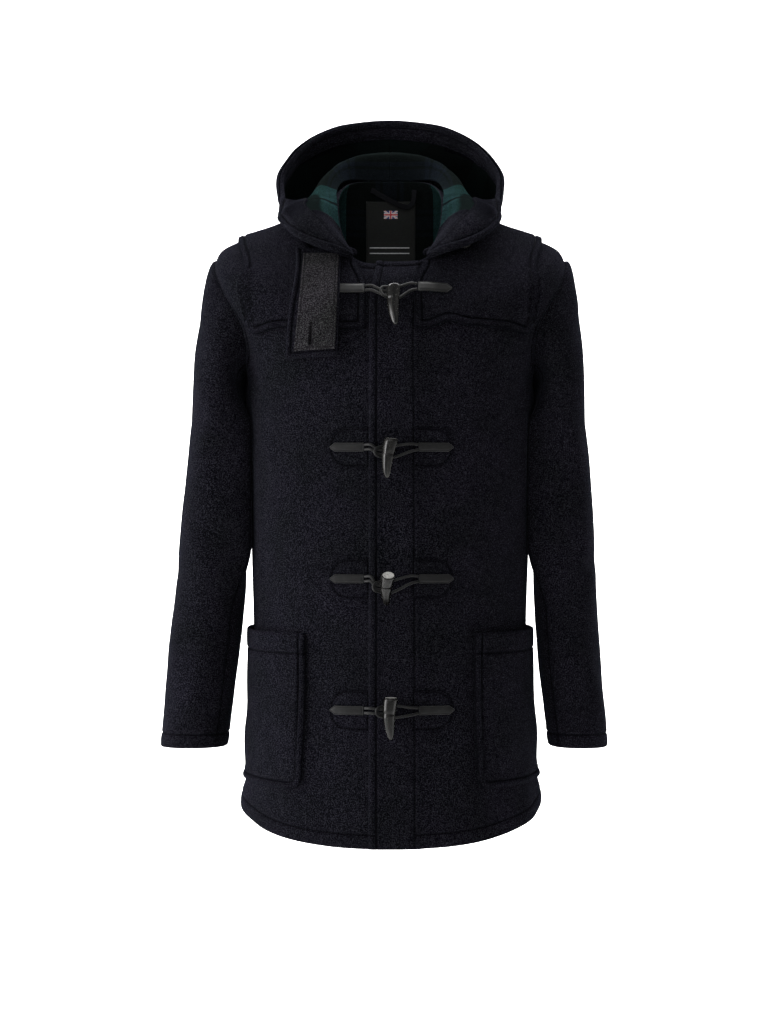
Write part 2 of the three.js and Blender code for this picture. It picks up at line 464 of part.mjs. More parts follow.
// ---------------------------------------------------------------- fastenings
// A flat piece on the front: columns along x, its half height given at each column.
function flatPiece(side, from, to, z0, columns, rows, half, low, high) {
  const at = (off) => (u, v) => {
    const a = lerp(from, to, columns[Math.round(u * (columns.length - 1))]);
    return onFront(side * a, z0 + (2 * v - 1) * half(a), off(side * a));
  };
  return wall(columns.length - 1, rows, at(low), at(high));
}
const yokeRise = CLOTH + YOKE_RISE;
FASTENING_Z.forEach((z0, k) => {
  const n = k + 1;
  const base = (x) => (k === 0 ? yokeRise + CLOTH + (x > 0 ? LAP_RISE * (1 - smooth(44, 80, x)) : 0) + 0.9 : panelTop(x) + 0.5);
  const patched = (x) => base(x) + (k === 0 ? 0 : PATCH.thick + 0.4);
  const tabHalf = (a) => Math.min(TAB.half, 0.9 + (TAB.to - a) * (TAB.half - 0.9) / TAB.point);
  const patchHalf = (a) => { const d = Math.max(0, a - (PATCH.to - PATCH.round)); return 2.5 + (PATCH.half - 2.5) * Math.sqrt(Math.max(0, 1 - (d / PATCH.round) ** 2.4)); };
  for (const [word, side] of [['toggle', -1], ['loop', 1]]) {
    const from = side > 0 ? 36 : TAB.from, to = side > 0 ? 80 : TAB.to;
    if (k > 0) {
      add(`patch_${word}_${n}`, flatPiece(side, PATCH.from + (side > 0 ? 2 : 0), PATCH.to + (side > 0 ? 3 : 0), z0, [0, 0.25, 0.5, 0.72, 0.87, 0.96, 1], 4,
        (a) => patchHalf(a - (side > 0 ? 3 : 0)), base, (x) => base(x) + PATCH.thick), 'wool');
    }
    add(`tab_${word}_${n}`, flatPiece(side, from, to, z0, [0, 0.3, 0.6, 0.86, 1], 2,
      (a) => Math.min(TAB.half, 0.9 + (to - a) * (TAB.half - 0.9) / TAB.point), patched, (x) => patched(x) + TAB.thick), 'leather');
  }

  // The toggle itself, flat at its top and drawn out to its tip.
  const hang = TOGGLE_AT[k];
  const top = onFront(hang.top[0], hang.top[1], hang.off[0]), tip = onFront(hang.tip[0], hang.tip[1], hang.off[1]);
  const axis = tip.clone().sub(top), length = axis.length();
  axis.normalize();
  const out = vec(0, -1, 0).addScaledVector(axis, axis.y).normalize(), across = axis.clone().cross(out);
  const pos = [], index = [], sides = 10, rings = [0, 1.5, 6, 16, 27, 38, 46, 50, 52];
  for (const s of rings) {
    const r = TOGGLE.at(s).r, at = s / 52;
    const bend = 2.0 * Math.sin(Math.PI * at);
    for (let q = 0; q < sides; q++) {
      const a = 2 * Math.PI * q / sides;
      const p = top.clone().addScaledVector(axis, length * at).addScaledVector(across, r * Math.cos(a) + bend).addScaledVector(out, r * 0.92 * Math.sin(a));
      pos.push(p.x, p.y, p.z);
    }
  }
  for (let i = 0; i < rings.length - 1; i++) for (let q = 0; q < sides; q++) {
    const a = i * sides + q, b = i * sides + (q + 1) % sides;
    index.push(a, b, b + sides, a, b + sides, a + sides);
  }
  for (let q = 1; q < sides - 1; q++) { index.push(0, q + 1, q); const e = (rings.length - 1) * sides; index.push(e, e + q, e + q + 1); }
  add(`toggle_${n}`, closed(pos, index), 'horn');

  // The cord: two legs from its tab to the toggle's middle. The loop: two legs from the other tab that
  // pass behind the toggle and close in front of the cord.
  const cx = (hang.top[0] + hang.tip[0]) / 2, cz = z0 - [6, 6, 10, 1][k];
  const lift = (x, off) => panelTop(x) + off;
  const hint = vec(0, -1, 0);
  const start = (x) => patched(x) + TAB.thick / 2;
  const cordEnd = cx - 1.5;
  add(`toggle_cord_${n}`, tube([
    onFront(-TAB.from + 0.9, z0 + 3.0, start(-TAB.from + 0.9)),
    onFront(-24, z0 + 3.0, lift(-24, 3.3)), onFront(cx - 14, cz + 2.6, lift(-10, 3.0)),
    onFront(cordEnd - 2, cz + 2.8, lift(-5, 3.0)), onFront(cordEnd + 2.5, cz, lift(0, 3.0)), onFront(cordEnd - 2, cz - 2.8, lift(-5, 3.0)),
    onFront(cx - 14, cz - 2.6, lift(-10, 3.0)), onFront(-24, z0 - 3.0, lift(-24, 3.3)),
    onFront(-TAB.from + 0.9, z0 - 3.0, start(-TAB.from + 0.9)),
  ], 1.9, 1.4, 6, 18, hint), 'leather');
  const loopFrom = 36 - 0.9, u = cx - 16;
  add(`loop_${n}`, tube([
    onFront(loopFrom, z0 + 3.4, start(loopFrom)),
    onFront(26, z0 + 4.0, lift(26, k === 0 ? 6.6 : 4.2)), onFront(cx + 4, cz + 7.5, lift(0, 3.4)), onFront(cx - 7, cz + 7.0, lift(0, 3.7)),
    onFront(u, cz + 4.5, lift(0, 7.2)), onFront(u - 2, cz, lift(0, 7.6)), onFront(u, cz - 4.5, lift(0, 7.2)),
    onFront(cx - 7, cz - 7.0, lift(0, 3.7)), onFront(cx + 4, cz - 7.5, lift(0, 3.4)), onFront(26, z0 - 5.5, lift(26, k === 0 ? 6.6 : 4.2)),
    onFront(loopFrom, z0 - 3.4, start(loopFrom)),
  ], 1.8, 1.4, 6, 24, hint), 'leather');
});

export default coat;
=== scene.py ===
# A hooded duffle coat in dark navy wool, hollow as worn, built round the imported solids.
# The tables below are the coat's own measures, in millimetres; meshes are made in metres.
import math
import bpy
import numpy as np
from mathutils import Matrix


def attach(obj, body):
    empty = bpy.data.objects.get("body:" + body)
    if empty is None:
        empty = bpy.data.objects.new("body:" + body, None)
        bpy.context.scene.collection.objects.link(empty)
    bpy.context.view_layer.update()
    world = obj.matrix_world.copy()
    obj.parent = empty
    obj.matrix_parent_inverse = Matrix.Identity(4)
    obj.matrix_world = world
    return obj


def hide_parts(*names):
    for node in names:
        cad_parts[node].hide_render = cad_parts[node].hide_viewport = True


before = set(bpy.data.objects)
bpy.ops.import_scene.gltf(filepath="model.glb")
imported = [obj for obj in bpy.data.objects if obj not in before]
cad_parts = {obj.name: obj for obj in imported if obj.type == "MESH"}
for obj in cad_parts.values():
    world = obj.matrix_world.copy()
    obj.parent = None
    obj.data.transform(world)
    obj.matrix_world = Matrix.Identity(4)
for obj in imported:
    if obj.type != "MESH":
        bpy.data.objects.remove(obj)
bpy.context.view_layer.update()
RAD = math.pi / 180
MM = 0.001

# ------------------------------------------------------------------ sizes, as the solids have them
CLOTH = 3.0
LAP, LAP_RISE, YOKE_RISE = 27.0, 3.6, 1.6
SIDE_SEAM, NECK, ARMPIT, SHOULDER = 106.0, 2.0, 1.0, 1.5
POCKET_TOP, POCKET_BOTTOM, POCKET_FROM, POCKET_TO, POCKET_SAG = -574.0, -775.0, 32.0, 99.0, 8.0
HOOD_GAP = 9.4
FASTENING_Z = [-132.0, -334.0, -503.0, -671.0]
TAB = dict(start=33.0, to=76.0, half=5.8, thick=2.4, point=6.0)
PATCH = dict(start=28.5, to=77.0, half=26.0, thick=1.5, round=26.0)


def smooth(a, b, v):
    t = np.clip((np.asarray(v, float) - a) / (b - a), 0, 1)
    return t * t * (3 - 2 * t)


def lerp(a, b, t):
    return a + (b - a) * t


def table(names, rows):
    """Named columns, read at any k by a monotone cubic through the rows."""
    names = names.split()
    a = np.array(rows, float)
    x = a[:, 0]
    d = (a[1:] - a[:-1]) / (x[1:] - x[:-1])[:, None]
    m = np.empty_like(a)
    m[0], m[-1] = d[0], d[-1]
    if len(rows) > 2:
        both = d[:-1] * d[1:]
        m[1:-1] = np.where(both > 0, 2 * both / np.where(both > 0, d[:-1] + d[1:], 1), 0)

    def at(k):
        k = np.clip(np.asarray(k, float), x[0], x[-1])
        i = np.clip(np.searchsorted(x, k, side="left") - 1, 0, len(x) - 2)
        w = x[i + 1] - x[i]
        t = (k - x[i]) / w
        h0, h1 = 2 * t ** 3 - 3 * t ** 2 + 1, (t ** 3 - 2 * t ** 2 + t) * w
        h2, h3 = -2 * t ** 3 + 3 * t ** 2, (t ** 3 - t ** 2) * w
        v = h0[..., None] * a[i] + h1[..., None] * m[i] + h2[..., None] * a[i + 1] + h3[..., None] * m[i + 1]
        return {n: v[..., j] for j, n in enumerate(names)}
    return at


BODY = table("h xs ys zs yf zf yb zb p m", [
    [0.00, 198, 5, -812, -158, -847, 152, -831, 2.35, 0.6],
    [0.12, 190, 5, -745, -154, -764, 146, -755, 2.35, 0.3],
    [0.25, 183, 5, -670, -149, -678, 138, -674, 2.35, 0],
    [0.40, 182, 5, -588, -143, -590, 130, -589, 2.35, 0],
    [0.60, 184.7, 5, -475, -140, -475, 123, -475, 2.35, 0],
    [0.80, 187, 5, -360, -138, -360, 119, -360, 2.35, 0],
    [1.00, 190, 5, -250, -137, -252, 120, -250, 2.40, 0],
    [1.25, 214, 8, -160, -131, -200, 121, -168, 2.50, 0.30],
    [1.38, 228, 9, -118, -124, -173, 120, -126, 2.50, 0.44],
    [1.48, 235, 10, -84, -118, -153, 118, -94, 2.50, 0.56],
    [1.54, 230, 10, -68, -114, -145, 116, -76, 2.48, 0.62],
    [1.62, 204, 9, -53, -107, -133, 112, -53, 2.45, 0.71],
    [1.78, 150, 7, -35, -93, -114, 101, -15, 2.50, 0.85],
    [2.00, 69, 2, 6, -70, -92, 82, 43, 3.20, 1.00],
])
ARMHOLE = table("t front back", [
    [0.00, 106, 106], [0.06, 92, 112], [0.16, 78, 117], [0.32, 66, 120], [0.50, 62, 119],
    [0.68, 65, 115], [0.84, 73, 107], [0.94, 81, 99], [1.00, 90, 90],
])
SLEEVE = {
    1: table("z outer inner front back p", [
        [-735, 292, 213, -76, 30, 2.3], [-673, 288, 206, -74, 37, 2.3], [-619, 284, 200, -73, 43, 2.3], [-565, 280, 196.5, -71, 49, 2.3],
        [-511, 276, 194.5, -69, 55, 2.3], [-403, 269, 194.0, -68, 65, 2.3], [-300, 262, 196.5, -70, 74, 2.3]]),
    -1: table("z outer inner front back p", [
        [-735, 308, 219, -76, 30, 2.3], [-673, 304, 211, -74, 37, 2.3], [-619, 300, 204.5, -73, 43, 2.3], [-565, 294.5, 199, -71, 49, 2.3],
        [-511, 289, 195.0, -69, 55, 2.3], [-403, 280, 194.5, -68, 65, 2.3], [-300, 269, 196.5, -70, 74, 2.3]]),
}
YOKE = table("u neck th h", [
    [0.00, 30, 12, 1.36], [0.08, 36, 20, 1.352], [0.16, 42, 30, 1.335], [0.24, 48, 40, 1.300], [0.31, 54, 48.5, 1.262],
    [0.35, 58, 52, 1.262], [0.38, 62, 51.5, 1.33], [0.43, 67, 50, 1.41], [0.48, 72, 51.5, 1.50], [0.54, 78, 58, 1.575],
    [0.60, 84, 72, 1.612], [0.67, 90, 90, 1.620], [0.73, 97, 108, 1.612], [0.78, 105, 120, 1.580], [0.82, 113, 127, 1.50],
    [0.86, 122, 128.5, 1.40], [0.885, 129, 127.5, 1.32], [0.91, 136, 131, 1.295], [0.94, 146, 142, 1.295], [0.97, 163, 160, 1.298], [1.00, 180, 180, 1.30],
])
HOOD_ROWS = [
    [0.00, 31, 47, -67, -78, 48, -70, -77, 49, -73, -77, 50, -76, -79, 50, -80, -83],
    [0.10, 40, 58, -64, -64, 64, -72, -58, 69, -80, -58, 75, -91, -65, 78, -97, -76],
    [0.22, 58, 76, -50, -34, 90, -58, -27, 103, -68, -30, 115, -79, -42, 121, -83, -58],
    [0.36, 75, 91, -24, -3, 107, -24, -1, 125, -26, -4, 141, -31, -13, 148, -33, -25],
    [0.50, 92, 98, 16, 19, 112, 22, 12, 128, 28, 4, 143, 24, 8, 151, 14, 14],
    [0.62, 110, 94, 44, 40, 108, 62, 20, 130, 84, -14, 152, 66, 8, 153, 42, 44],
    [0.73, 125, 82, 72, 60, 96, 98, 8, 116, 128, -62, 144, 116, -8, 139, 68, 76],
    [0.83, 140, 66, 90, 75, 78, 120, 8, 90, 154, -104, 124, 162, -35, 116, 95, 104],
    [0.92, 160, 36, 100, 88, 42, 130, 12, 46, 166, -130, 66, 196, -50, 64, 121, 131],
    [1.00, 180, 0, 103, 91, 0, 132, 12, 0, 170, -138, 0, 206, -58, 0, 130, 139],
]
HOOD = table("w seam cx cy cz mx my mz bx by bz ox oy oz rx ry rz", HOOD_ROWS + [
    [2 - v if c == 0 else 360 - v if c == 1 else -v if (c - 2) % 3 == 0 else v for c, v in enumerate(row)] for row in HOOD_ROWS[-2::-1]])
FACING_WIDTH = table("w width", [[0, 8], [0.1, 24], [0.22, 46], [0.36, 46], [0.5, 36], [0.73, 29], [1, 28]])
TOGGLE = table("s r", [[0, 8.2], [3, 9.0], [12, 8.6], [24, 7.7], [36, 6.4], [45, 4.8], [50, 3.0], [52, 1.2]])
TOGGLE_AT = [
    dict(top=(5, -137), tip=(7, -183), off=(24.0, 22.0)),
    dict(top=(2, -323), tip=(-4, -374), off=(22.7, 20.0)),
    dict(top=(-2, -497), tip=(-4, -536), off=(46, 15.5)),
    dict(top=(1, -654), tip=(1, -707), off=(22.7, 20.0)),
]


# ------------------------------------------------------------------ soft unevenness of the cloth
def wobble(p, size, seed):
    """A smooth uneven value from about -1 to 1 over points p, in lumps of about that size in mm."""
    rng = np.random.default_rng(seed)
    out = np.zeros(p.shape[:-1])
    for _ in range(6):
        k = rng.normal(size=p.shape[-1])
        k *= 2 * math.pi / (size * rng.uniform(0.8, 1.7)) / np.linalg.norm(k)
        out += np.sin(p @ k + rng.uniform(0, 6.28))
    return out / 3.0


# Main folds and hollows of the cloth, in degrees round the coat and mm of height:
# from, to, bow in mm, half width in mm, depth in mm (minus is a trough).
FOLD_COLUMNS = "th0 z0 th1 z1 bow width depth"
FRONT_FOLDS = [
    # drag from the underarms down and in, and the easy fall below the chest
    [70, -215, 40, -330, 14, 17, -1.9], [80, -262, 58, -400, 18, 20, 1.5], [-68, -220, -42, -345, -12, 17, -1.9], [-79, -270, -60, -420, -16, 20, 1.6],
    [60, -330, 52, -560, 12, 24, -1.5], [-58, -360, -50, -590, -10, 24, -1.5],
    # soft flutes that open towards the hem
    [24, -560, 22, -850, 8, 22, 1.6], [38, -640, 45, -850, -8, 24, -2.0], [62, -760, 66, -850, 0, 20, 1.6],
    [-22, -590, -24, -850, -6, 22, -1.6], [-40, -660, -43, -850, 8, 26, 1.8], [-64, -745, -66, -850, 0, 22, -1.6],
    # light pulls out from the fastenings
    [14, -352, 32, -392, 6, 10, -0.8], [-14, -356, -30, -400, -6, 10, -0.8], [14, -522, 34, -560, 6, 11, -0.8], [-14, -524, -32, -566, -6, 11, -0.9],
    [14, -690, 30, -742, 6, 11, -0.8], [-14, -692, -28, -740, -6, 11, -0.8],
]
BACK_FOLDS = [
    [-52, -240, -30, -400, 10, 18, -2.0], [52, -235, 32, -410, -10, 18, -2.0], [-60, -300, -48, -470, 8, 20, 1.8], [61, -310, 47, -480, -8, 20, 1.8],
    [-20, -300, -14, -560, 10, 26, 1.6], [22, -330, 12, -600, -10, 26, -1.6], [0, -420, 4, -700, 8, 26, 1.4],
    [-30, -600, -34, -840, 8, 26, 2.6], [-8, -640, -9, -840, 4, 24, -2.4], [16, -610, 18, -840, -4, 24, 2.6], [38, -620, 42, -840, -8, 26, -2.4],
    [56, -690, 60, -830, 0, 22, 1.8], [-54, -700, -57, -830, 0, 22, -1.8],
]


def folds(a, z, rows, scale, seed):
    """Height of soft folds at a (mm round) and z (mm up)."""
    out = np.zeros(a.shape)
    p = np.stack([a, z], -1)
    for n, (a0, z0, a1, z1, bow, width, depth) in enumerate(rows):
        s, e = np.array([a0 * scale, z0]), np.array([a1 * scale, z1])
        line = e - s
        length = np.linalg.norm(line)
        t = ((p - s) @ line) / length ** 2
        across = ((p - s) @ np.array([-line[1], line[0]])) / length
        tc = np.clip(t, 0, 1)
        past = np.abs(t - tc) * length
        d = np.hypot(across - bow * 4 * tc * (1 - tc), past)
        w = width * (0.85 + 0.25 * tc) * (1 + 0.16 * wobble(p, 90, seed + n))
        strength = depth * (0.25 + 0.75 * np.sin(math.pi * np.clip(0.12 + 0.8 * t, 0, 1))) * (1 + 0.22 * wobble(p, 70, seed + 50 + n))
        out += strength * (np.exp(-(d / w) ** 2) - 0.4 * np.exp(-((np.abs(d) - 1.9 * w) / (1.1 * w)) ** 2))
    return out


def relief(th, h, P):
    """How far the body's cloth stands off its plain form."""
    w = (np.asarray(th, float) + 180) % 360 - 180
    back = (np.asarray(th, float) % 360) - 180
    r = folds(w * 2.9, P[..., 2], FRONT_FOLDS, 2.9, 11) * (1 - smooth(88, 104, np.abs(w)))
    r = r + folds(back * 2.9, P[..., 2], BACK_FOLDS, 2.9, 31) * (1 - smooth(68, 84, np.abs(back)))
    r = r + 0.7 * wobble(P, 120, 5) + 0.3 * wobble(P, 52, 6)
    low = smooth(-560, -700, P[..., 2])
    near_arm = smooth(62, 78, np.abs(w)) * (1 - smooth(118, 132, np.abs(w)))
    r = np.where(r > 0, r * (1 - near_arm * (1 - low)), r)
    r = r * (1 - smooth(1.62, 1.85, h)) * (1 - 0.75 * smooth(1.0, 1.35, h))
    z = P[..., 2]
    hip = 5.5 * np.exp(-((w - 92) / 24) ** 2) * np.exp(-((z + 800) / 32) ** 2)
    hip = hip - 2.4 * np.exp(-((w + 92) / 24) ** 2) * smooth(-620, -680, z) * smooth(-792, -772, z) + 1.0 * np.exp(-((w + 92) / 24) ** 2) * np.exp(-((z + 805) / 18) ** 2)
    underarm = 4.5 * np.exp(-((np.abs(w) - 90) / 16) ** 2) * np.exp(-((z + 272) / 20) ** 2)
    return r + hip + underarm


# ------------------------------------------------------------------ the body's form
def body(th, h):
    th, h = np.broadcast_arrays(np.asarray(th, float), np.asarray(h, float))
    r = BODY(h)
    s, c, e = np.sin(th * RAD), np.cos(th * RAD), 2 / r["p"]
    ac, front = np.abs(c), c >= 0
    f = (1 - r["m"]) * ac * ac + r["m"] * (1 - (1 - ac) ** 1.3)
    return np.stack([np.sign(s) * r["xs"] * np.abs(s) ** e,
                     r["ys"] + (np.where(front, r["yf"], r["yb"]) - r["ys"]) * ac ** e,
                     r["zs"] + (np.where(front, r["zf"], r["zb"]) - r["zs"]) * f], -1)


def unit(v):
    return v / np.maximum(np.linalg.norm(v, axis=-1, keepdims=True), 1e-12)


def body_normal(th, h):
    th, h = np.broadcast_arrays(np.asarray(th, float), np.asarray(h, float))
    a = body(th + 0.6, h) - body(th - 0.6, h)
    b = body(th, np.minimum(NECK, h + 0.012)) - body(th, np.maximum(0, h - 0.012))
    return unit(np.cross(a, b))


def body_out(th, h, off):
    P, N = body(th, h), body_normal(th, h)
    return P + N * (off + relief(th, h, P))[..., None], N


def theta_at_x(x, h):
    r = BODY(h)
    return np.sign(x) * np.arcsin(np.minimum(1, (np.abs(x) / r["xs"]) ** (r["p"] / 2))) / RAD


def level_at_z(th, z):
    a, b = np.zeros(np.shape(z)), np.full(np.shape(z), NECK)
    for _ in range(30):
        m = (a + b) / 2
        low = body(th, m)[..., 2] < z
        a, b = np.where(low, m, a), np.where(low, b, m)
    return (a + b) / 2


def surface_at(x, z, back=False):
    x, z = np.broadcast_arrays(np.asarray(x, float), np.asarray(z, float))
    a, b = np.full(x.shape, SHOULDER), np.full(x.shape, NECK)
    for _ in range(30):
        m = (a + b) / 2
        wide = BODY(m)["xs"] > np.abs(x)
        a, b = np.where(wide, m, a), np.where(wide, b, m)
    angle = (lambda h: 180 - theta_at_x(x, h)) if back else (lambda h: theta_at_x(x, h))
    lo, hi = np.zeros(x.shape), a
    for _ in range(34):
        m = (lo + hi) / 2
        low = body(angle(m), m)[..., 2] < z
        lo, hi = np.where(low, m, lo), np.where(low, hi, m)
    return angle(lo), lo


def panel_top(x):
    x = np.asarray(x, float)
    return CLOTH + np.where(x > -LAP - 0.5, LAP_RISE * (1 - smooth(LAP + 1, 50, x)), 0)


def on_front(x, z, off, back=False):
    th, h = surface_at(x, z, back)
    return body_out(th, h, np.asarray(off, float) + np.zeros(np.shape(th)))


# ------------------------------------------------------------------ grids of cloth
def along(A):
    """Distance from the first line of a grid to each of its lines, in mm."""
    step = np.linalg.norm(np.diff(A[:, :, :3], axis=0), axis=-1)
    return np.concatenate([np.zeros((1, A.shape[1])), np.cumsum(step, axis=0)])


def resample(A, axis, left, right, step):
    """The same sheet with its lines at the distances in left and right from its two edges, and every step mm between."""
    if axis == 1:
        return resample(A.transpose(1, 0, 2), 0, left, right, step).transpose(1, 0, 2)
    L = along(A)
    L = L + np.arange(len(L))[:, None] * 1e-7
    total = L[-1]
    ls, rs = np.minimum(1, 0.42 * total / left[-1]), np.minimum(1, 0.42 * total / right[-1])
    n = max(2, int(round((total.mean() - left[-1] - right[-1]) / step)))
    a, b = np.array(left)[:, None] * ls, total - np.array(right[::-1])[:, None] * rs
    T = np.concatenate([a, a[-1] + (b[0] - a[-1]) * np.linspace(0, 1, n + 2)[1:-1, None], b])
    out = np.empty((len(T), A.shape[1], A.shape[2]))
    for j in range(A.shape[1]):
        i = np.clip(np.searchsorted(L[:, j], T[:, j], side="right") - 1, 0, len(L) - 2)
        w = np.clip((T[:, j] - L[i, j]) / (L[i + 1, j] - L[i, j]), 0, 1)[:, None]
        out[:, j] = A[i, j] * (1 - w) + A[i + 1, j] * w
    return out


def edges_of(A):
    """Distances to the four edges, measured along the grid's lines."""
    L, M = along(A), along(A.transpose(1, 0, 2)).T
    return L, L[-1] - L, M, M[:, -1:] - M


def to_curve(P, curve):
    """Distance of each point to a line of points."""
    flat = P.reshape(-1, 3)
    a, b = curve[:-1], curve[1:]
    ab = b - a
    best = np.full(len(flat), 1e9)
    for s, d in zip(a, ab):
        t = np.clip(((flat - s) @ d) / max(d @ d, 1e-9), 0, 1)
        best = np.minimum(best, np.sum((flat - s - t[:, None] * d) ** 2, axis=1))
    return np.sqrt(best).reshape(P.shape[:-1])


LIPS = [0, 0.12, 0.45, 1.0]          # lines that round an edge off
WELT = LIPS + [1.8, 3.2, 5.0, 6.8, 8.2, 9.0, 9.6, 10.2, 10.8, 11.6, 13.0, 15.5]     # an edge stitched at 9.6 mm
HEM = LIPS + [1.8, 3.5, 6, 9, 12, 14.5, 16.2, 17.2, 18, 18.8, 19.8, 21.5, 24]       # a hem stitched at 18 mm


def press_and_shade(d, at, wide=1.0):
    """How dark the colour is painted at distance d from an edge stitched at that distance: partly the nap pressed flat
    by the stitching, partly painted shade of the stitch groove.
    """
    return np.exp(-((d - at) / wide) ** 2)


def welt(d, at, puff=0.9, dip=1.4, wide=1.0):
    """Height of a stitched edge at distance d from it: full to the stitching, which pulls in."""
    t = np.clip(d / at, 0, 1)
    return (puff * np.sin(math.pi * t) ** 0.7 * (d < at) - dip * np.exp(-((d - at) / wide) ** 2)
            + 0.4 * puff * np.exp(-((d - at - 3.4) / 2.2) ** 2))


def new_mesh(name, verts, faces, uvs=None, mats=(), which=None, flat=False):
    mesh = bpy.data.meshes.new(name)
    verts = np.asarray(verts, np.float64) * MM
    sizes = np.array([len(f) for f in faces]) if not isinstance(faces, np.ndarray) else np.full(len(faces), faces.shape[1])
    loops = np.concatenate([np.asarray(f) for f in faces]) if not isinstance(faces, np.ndarray) else faces.reshape(-1)
    mesh.vertices.add(len(verts))
    mesh.vertices.foreach_set("co", verts.astype(np.float32).reshape(-1))
    mesh.loops.add(len(loops))
    mesh.loops.foreach_set("vertex_index", loops.astype(np.int32))
    mesh.polygons.add(len(sizes))
    starts = np.concatenate([[0], np.cumsum(sizes)[:-1]])
    mesh.polygons.foreach_set("loop_start", starts.astype(np.int32))
    if which is not None:
        mesh.polygons.foreach_set("material_index", np.asarray(which, np.int32))
    mesh.update(calc_edges=True)
    mesh.validate(verbose=False)
    if uvs is not None:
        layer = mesh.uv_layers.new(name="cloth")
        layer.data.foreach_set("uv", (np.asarray(uvs)[loops] * MM).astype(np.float32).reshape(-1))
    for m in mats:
        mesh.materials.append(m)
    mesh.polygons.foreach_set("use_smooth", np.full(len(sizes), not flat))
    obj = bpy.data.objects.new(name, mesh)
    bpy.context.scene.collection.objects.link(obj)
    return obj


AREAS, SPANS = {}, {}          # m2 of one layer, and its two longest lines in m, of every sheet


def shell(name, P, N, low, high, mats, lip=(1.0, 1.0, 1.0, 1.0), uv=None, press_and_shade_mask=None, under_mat=None, deep=None):
    """A closed sheet of cloth between heights low and high over a grid, its edges rounded off. Returns the object and its outer face."""
    nu, nv = P.shape[:2]
    low, high = np.broadcast_to(low, (nu, nv)).astype(float), np.broadcast_to(high, (nu, nv)).astype(float)
    c = np.ones((nu, nv))
    for d, r in zip(edges_of(P), lip):
        c = c * np.sqrt(np.clip(1 - (1 - np.clip(d / r, 0, 1)) ** 2, 0, 1))
    mid, half = (low + high) / 2, (high - low) / 2 * c
    top, bottom = P + N * (mid + half)[..., None], P + N * (mid - half)[..., None]
    if uv is None:
        L, M = along(P), along(P.transpose(1, 0, 2)).T
        uv = np.stack([L - L[nu // 2], M], -1)
    index = np.arange(nu * nv).reshape(nu, nv)
    inner = index.copy()
    inner[1:-1, 1:-1] = nu * nv + np.arange((nu - 2) * (nv - 2)).reshape(nu - 2, nv - 2)
    verts = np.concatenate([top.reshape(-1, 3), bottom[1:-1, 1:-1].reshape(-1, 3)])
    uvs = np.concatenate([uv.reshape(-1, 2), uv[1:-1, 1:-1].reshape(-1, 2)])

    def quads(ix):
        return np.stack([ix[:-1, :-1], ix[1:, :-1], ix[1:, 1:], ix[:-1, 1:]], -1).reshape(-1, 4)
    outer, under = quads(index), quads(inner)[:, ::-1]
    a, b = P[1:, :-1] - P[:-1, :-1], P[:-1, 1:] - P[:-1, :-1]
    facing = np.sum(np.cross(a, b) * N[:-1, :-1])
    AREAS[name] = float(np.sum(np.linalg.norm(np.cross(a, b), axis=-1))) * 1e-6
    SPANS[name] = (float(along(P)[-1].max()) * MM, float(along(P.transpose(1, 0, 2))[-1].max()) * MM)
    if facing < 0:
        outer, under = outer[:, ::-1], under[:, ::-1]
    second = np.full(len(under), min(1, len(mats) - 1)) if under_mat is None else np.asarray(under_mat)[:-1, :-1].reshape(-1)
    obj = new_mesh(name, verts, np.concatenate([outer, under]), uvs, mats, np.concatenate([np.zeros(len(outer)), second]))
    # The vertex attribute set here darkens the cloth's colour: on the outer face along stitching (pressed nap and
    # painted shade) and edges (painted shadow lines); on the inner face it is painted shade deep in a hollow.
    if press_and_shade_mask is not None:
        layer = obj.data.attributes.new("press_and_shade", "FLOAT", "POINT")
        value = np.zeros(len(verts), np.float32)
        value[:nu * nv] = np.clip(press_and_shade_mask, 0, 1).reshape(-1)
        if deep is not None:
            value[nu * nv:] = np.clip(deep, 0, 1)[1:-1, 1:-1].reshape(-1)
        layer.data.foreach_set("value", value)
    return obj, top


def normals_of(P, like):
    n = unit(np.cross(np.gradient(P, axis=0), np.gradient(P, axis=1)))
    return np.where(np.sum(n * like, -1, keepdims=True) < 0, -n, n)


def crossing(P, N, F, level, axis, ok=None, last=False):
    """The line of points where F passes level, one for each line of the grid along axis."""
    if axis == 1:
        P, N, F = P.transpose(1, 0, 2), N.transpose(1, 0, 2), F.T
        ok = None if ok is None else ok.T
    pts, nrm = [], []
    for j in range(F.shape[1]):
        f = F[:, j] - level
        k = np.nonzero((f[:-1] * f[1:] <= 0) & (f[:-1] != f[1:]))[0]
        if not len(k):
            continue
        i = k[-1] if last else k[0]
        if ok is not None and not ok[i, j]:
            continue
        t = f[i] / (f[i] - f[i + 1])
        pts.append(lerp(P[i, j], P[i + 1, j], t))
        nrm.append(unit(lerp(N[i, j], N[i + 1, j], t)))
    return (np.array(pts), np.array(nrm)) if len(pts) > 2 else None


STITCHES = {}


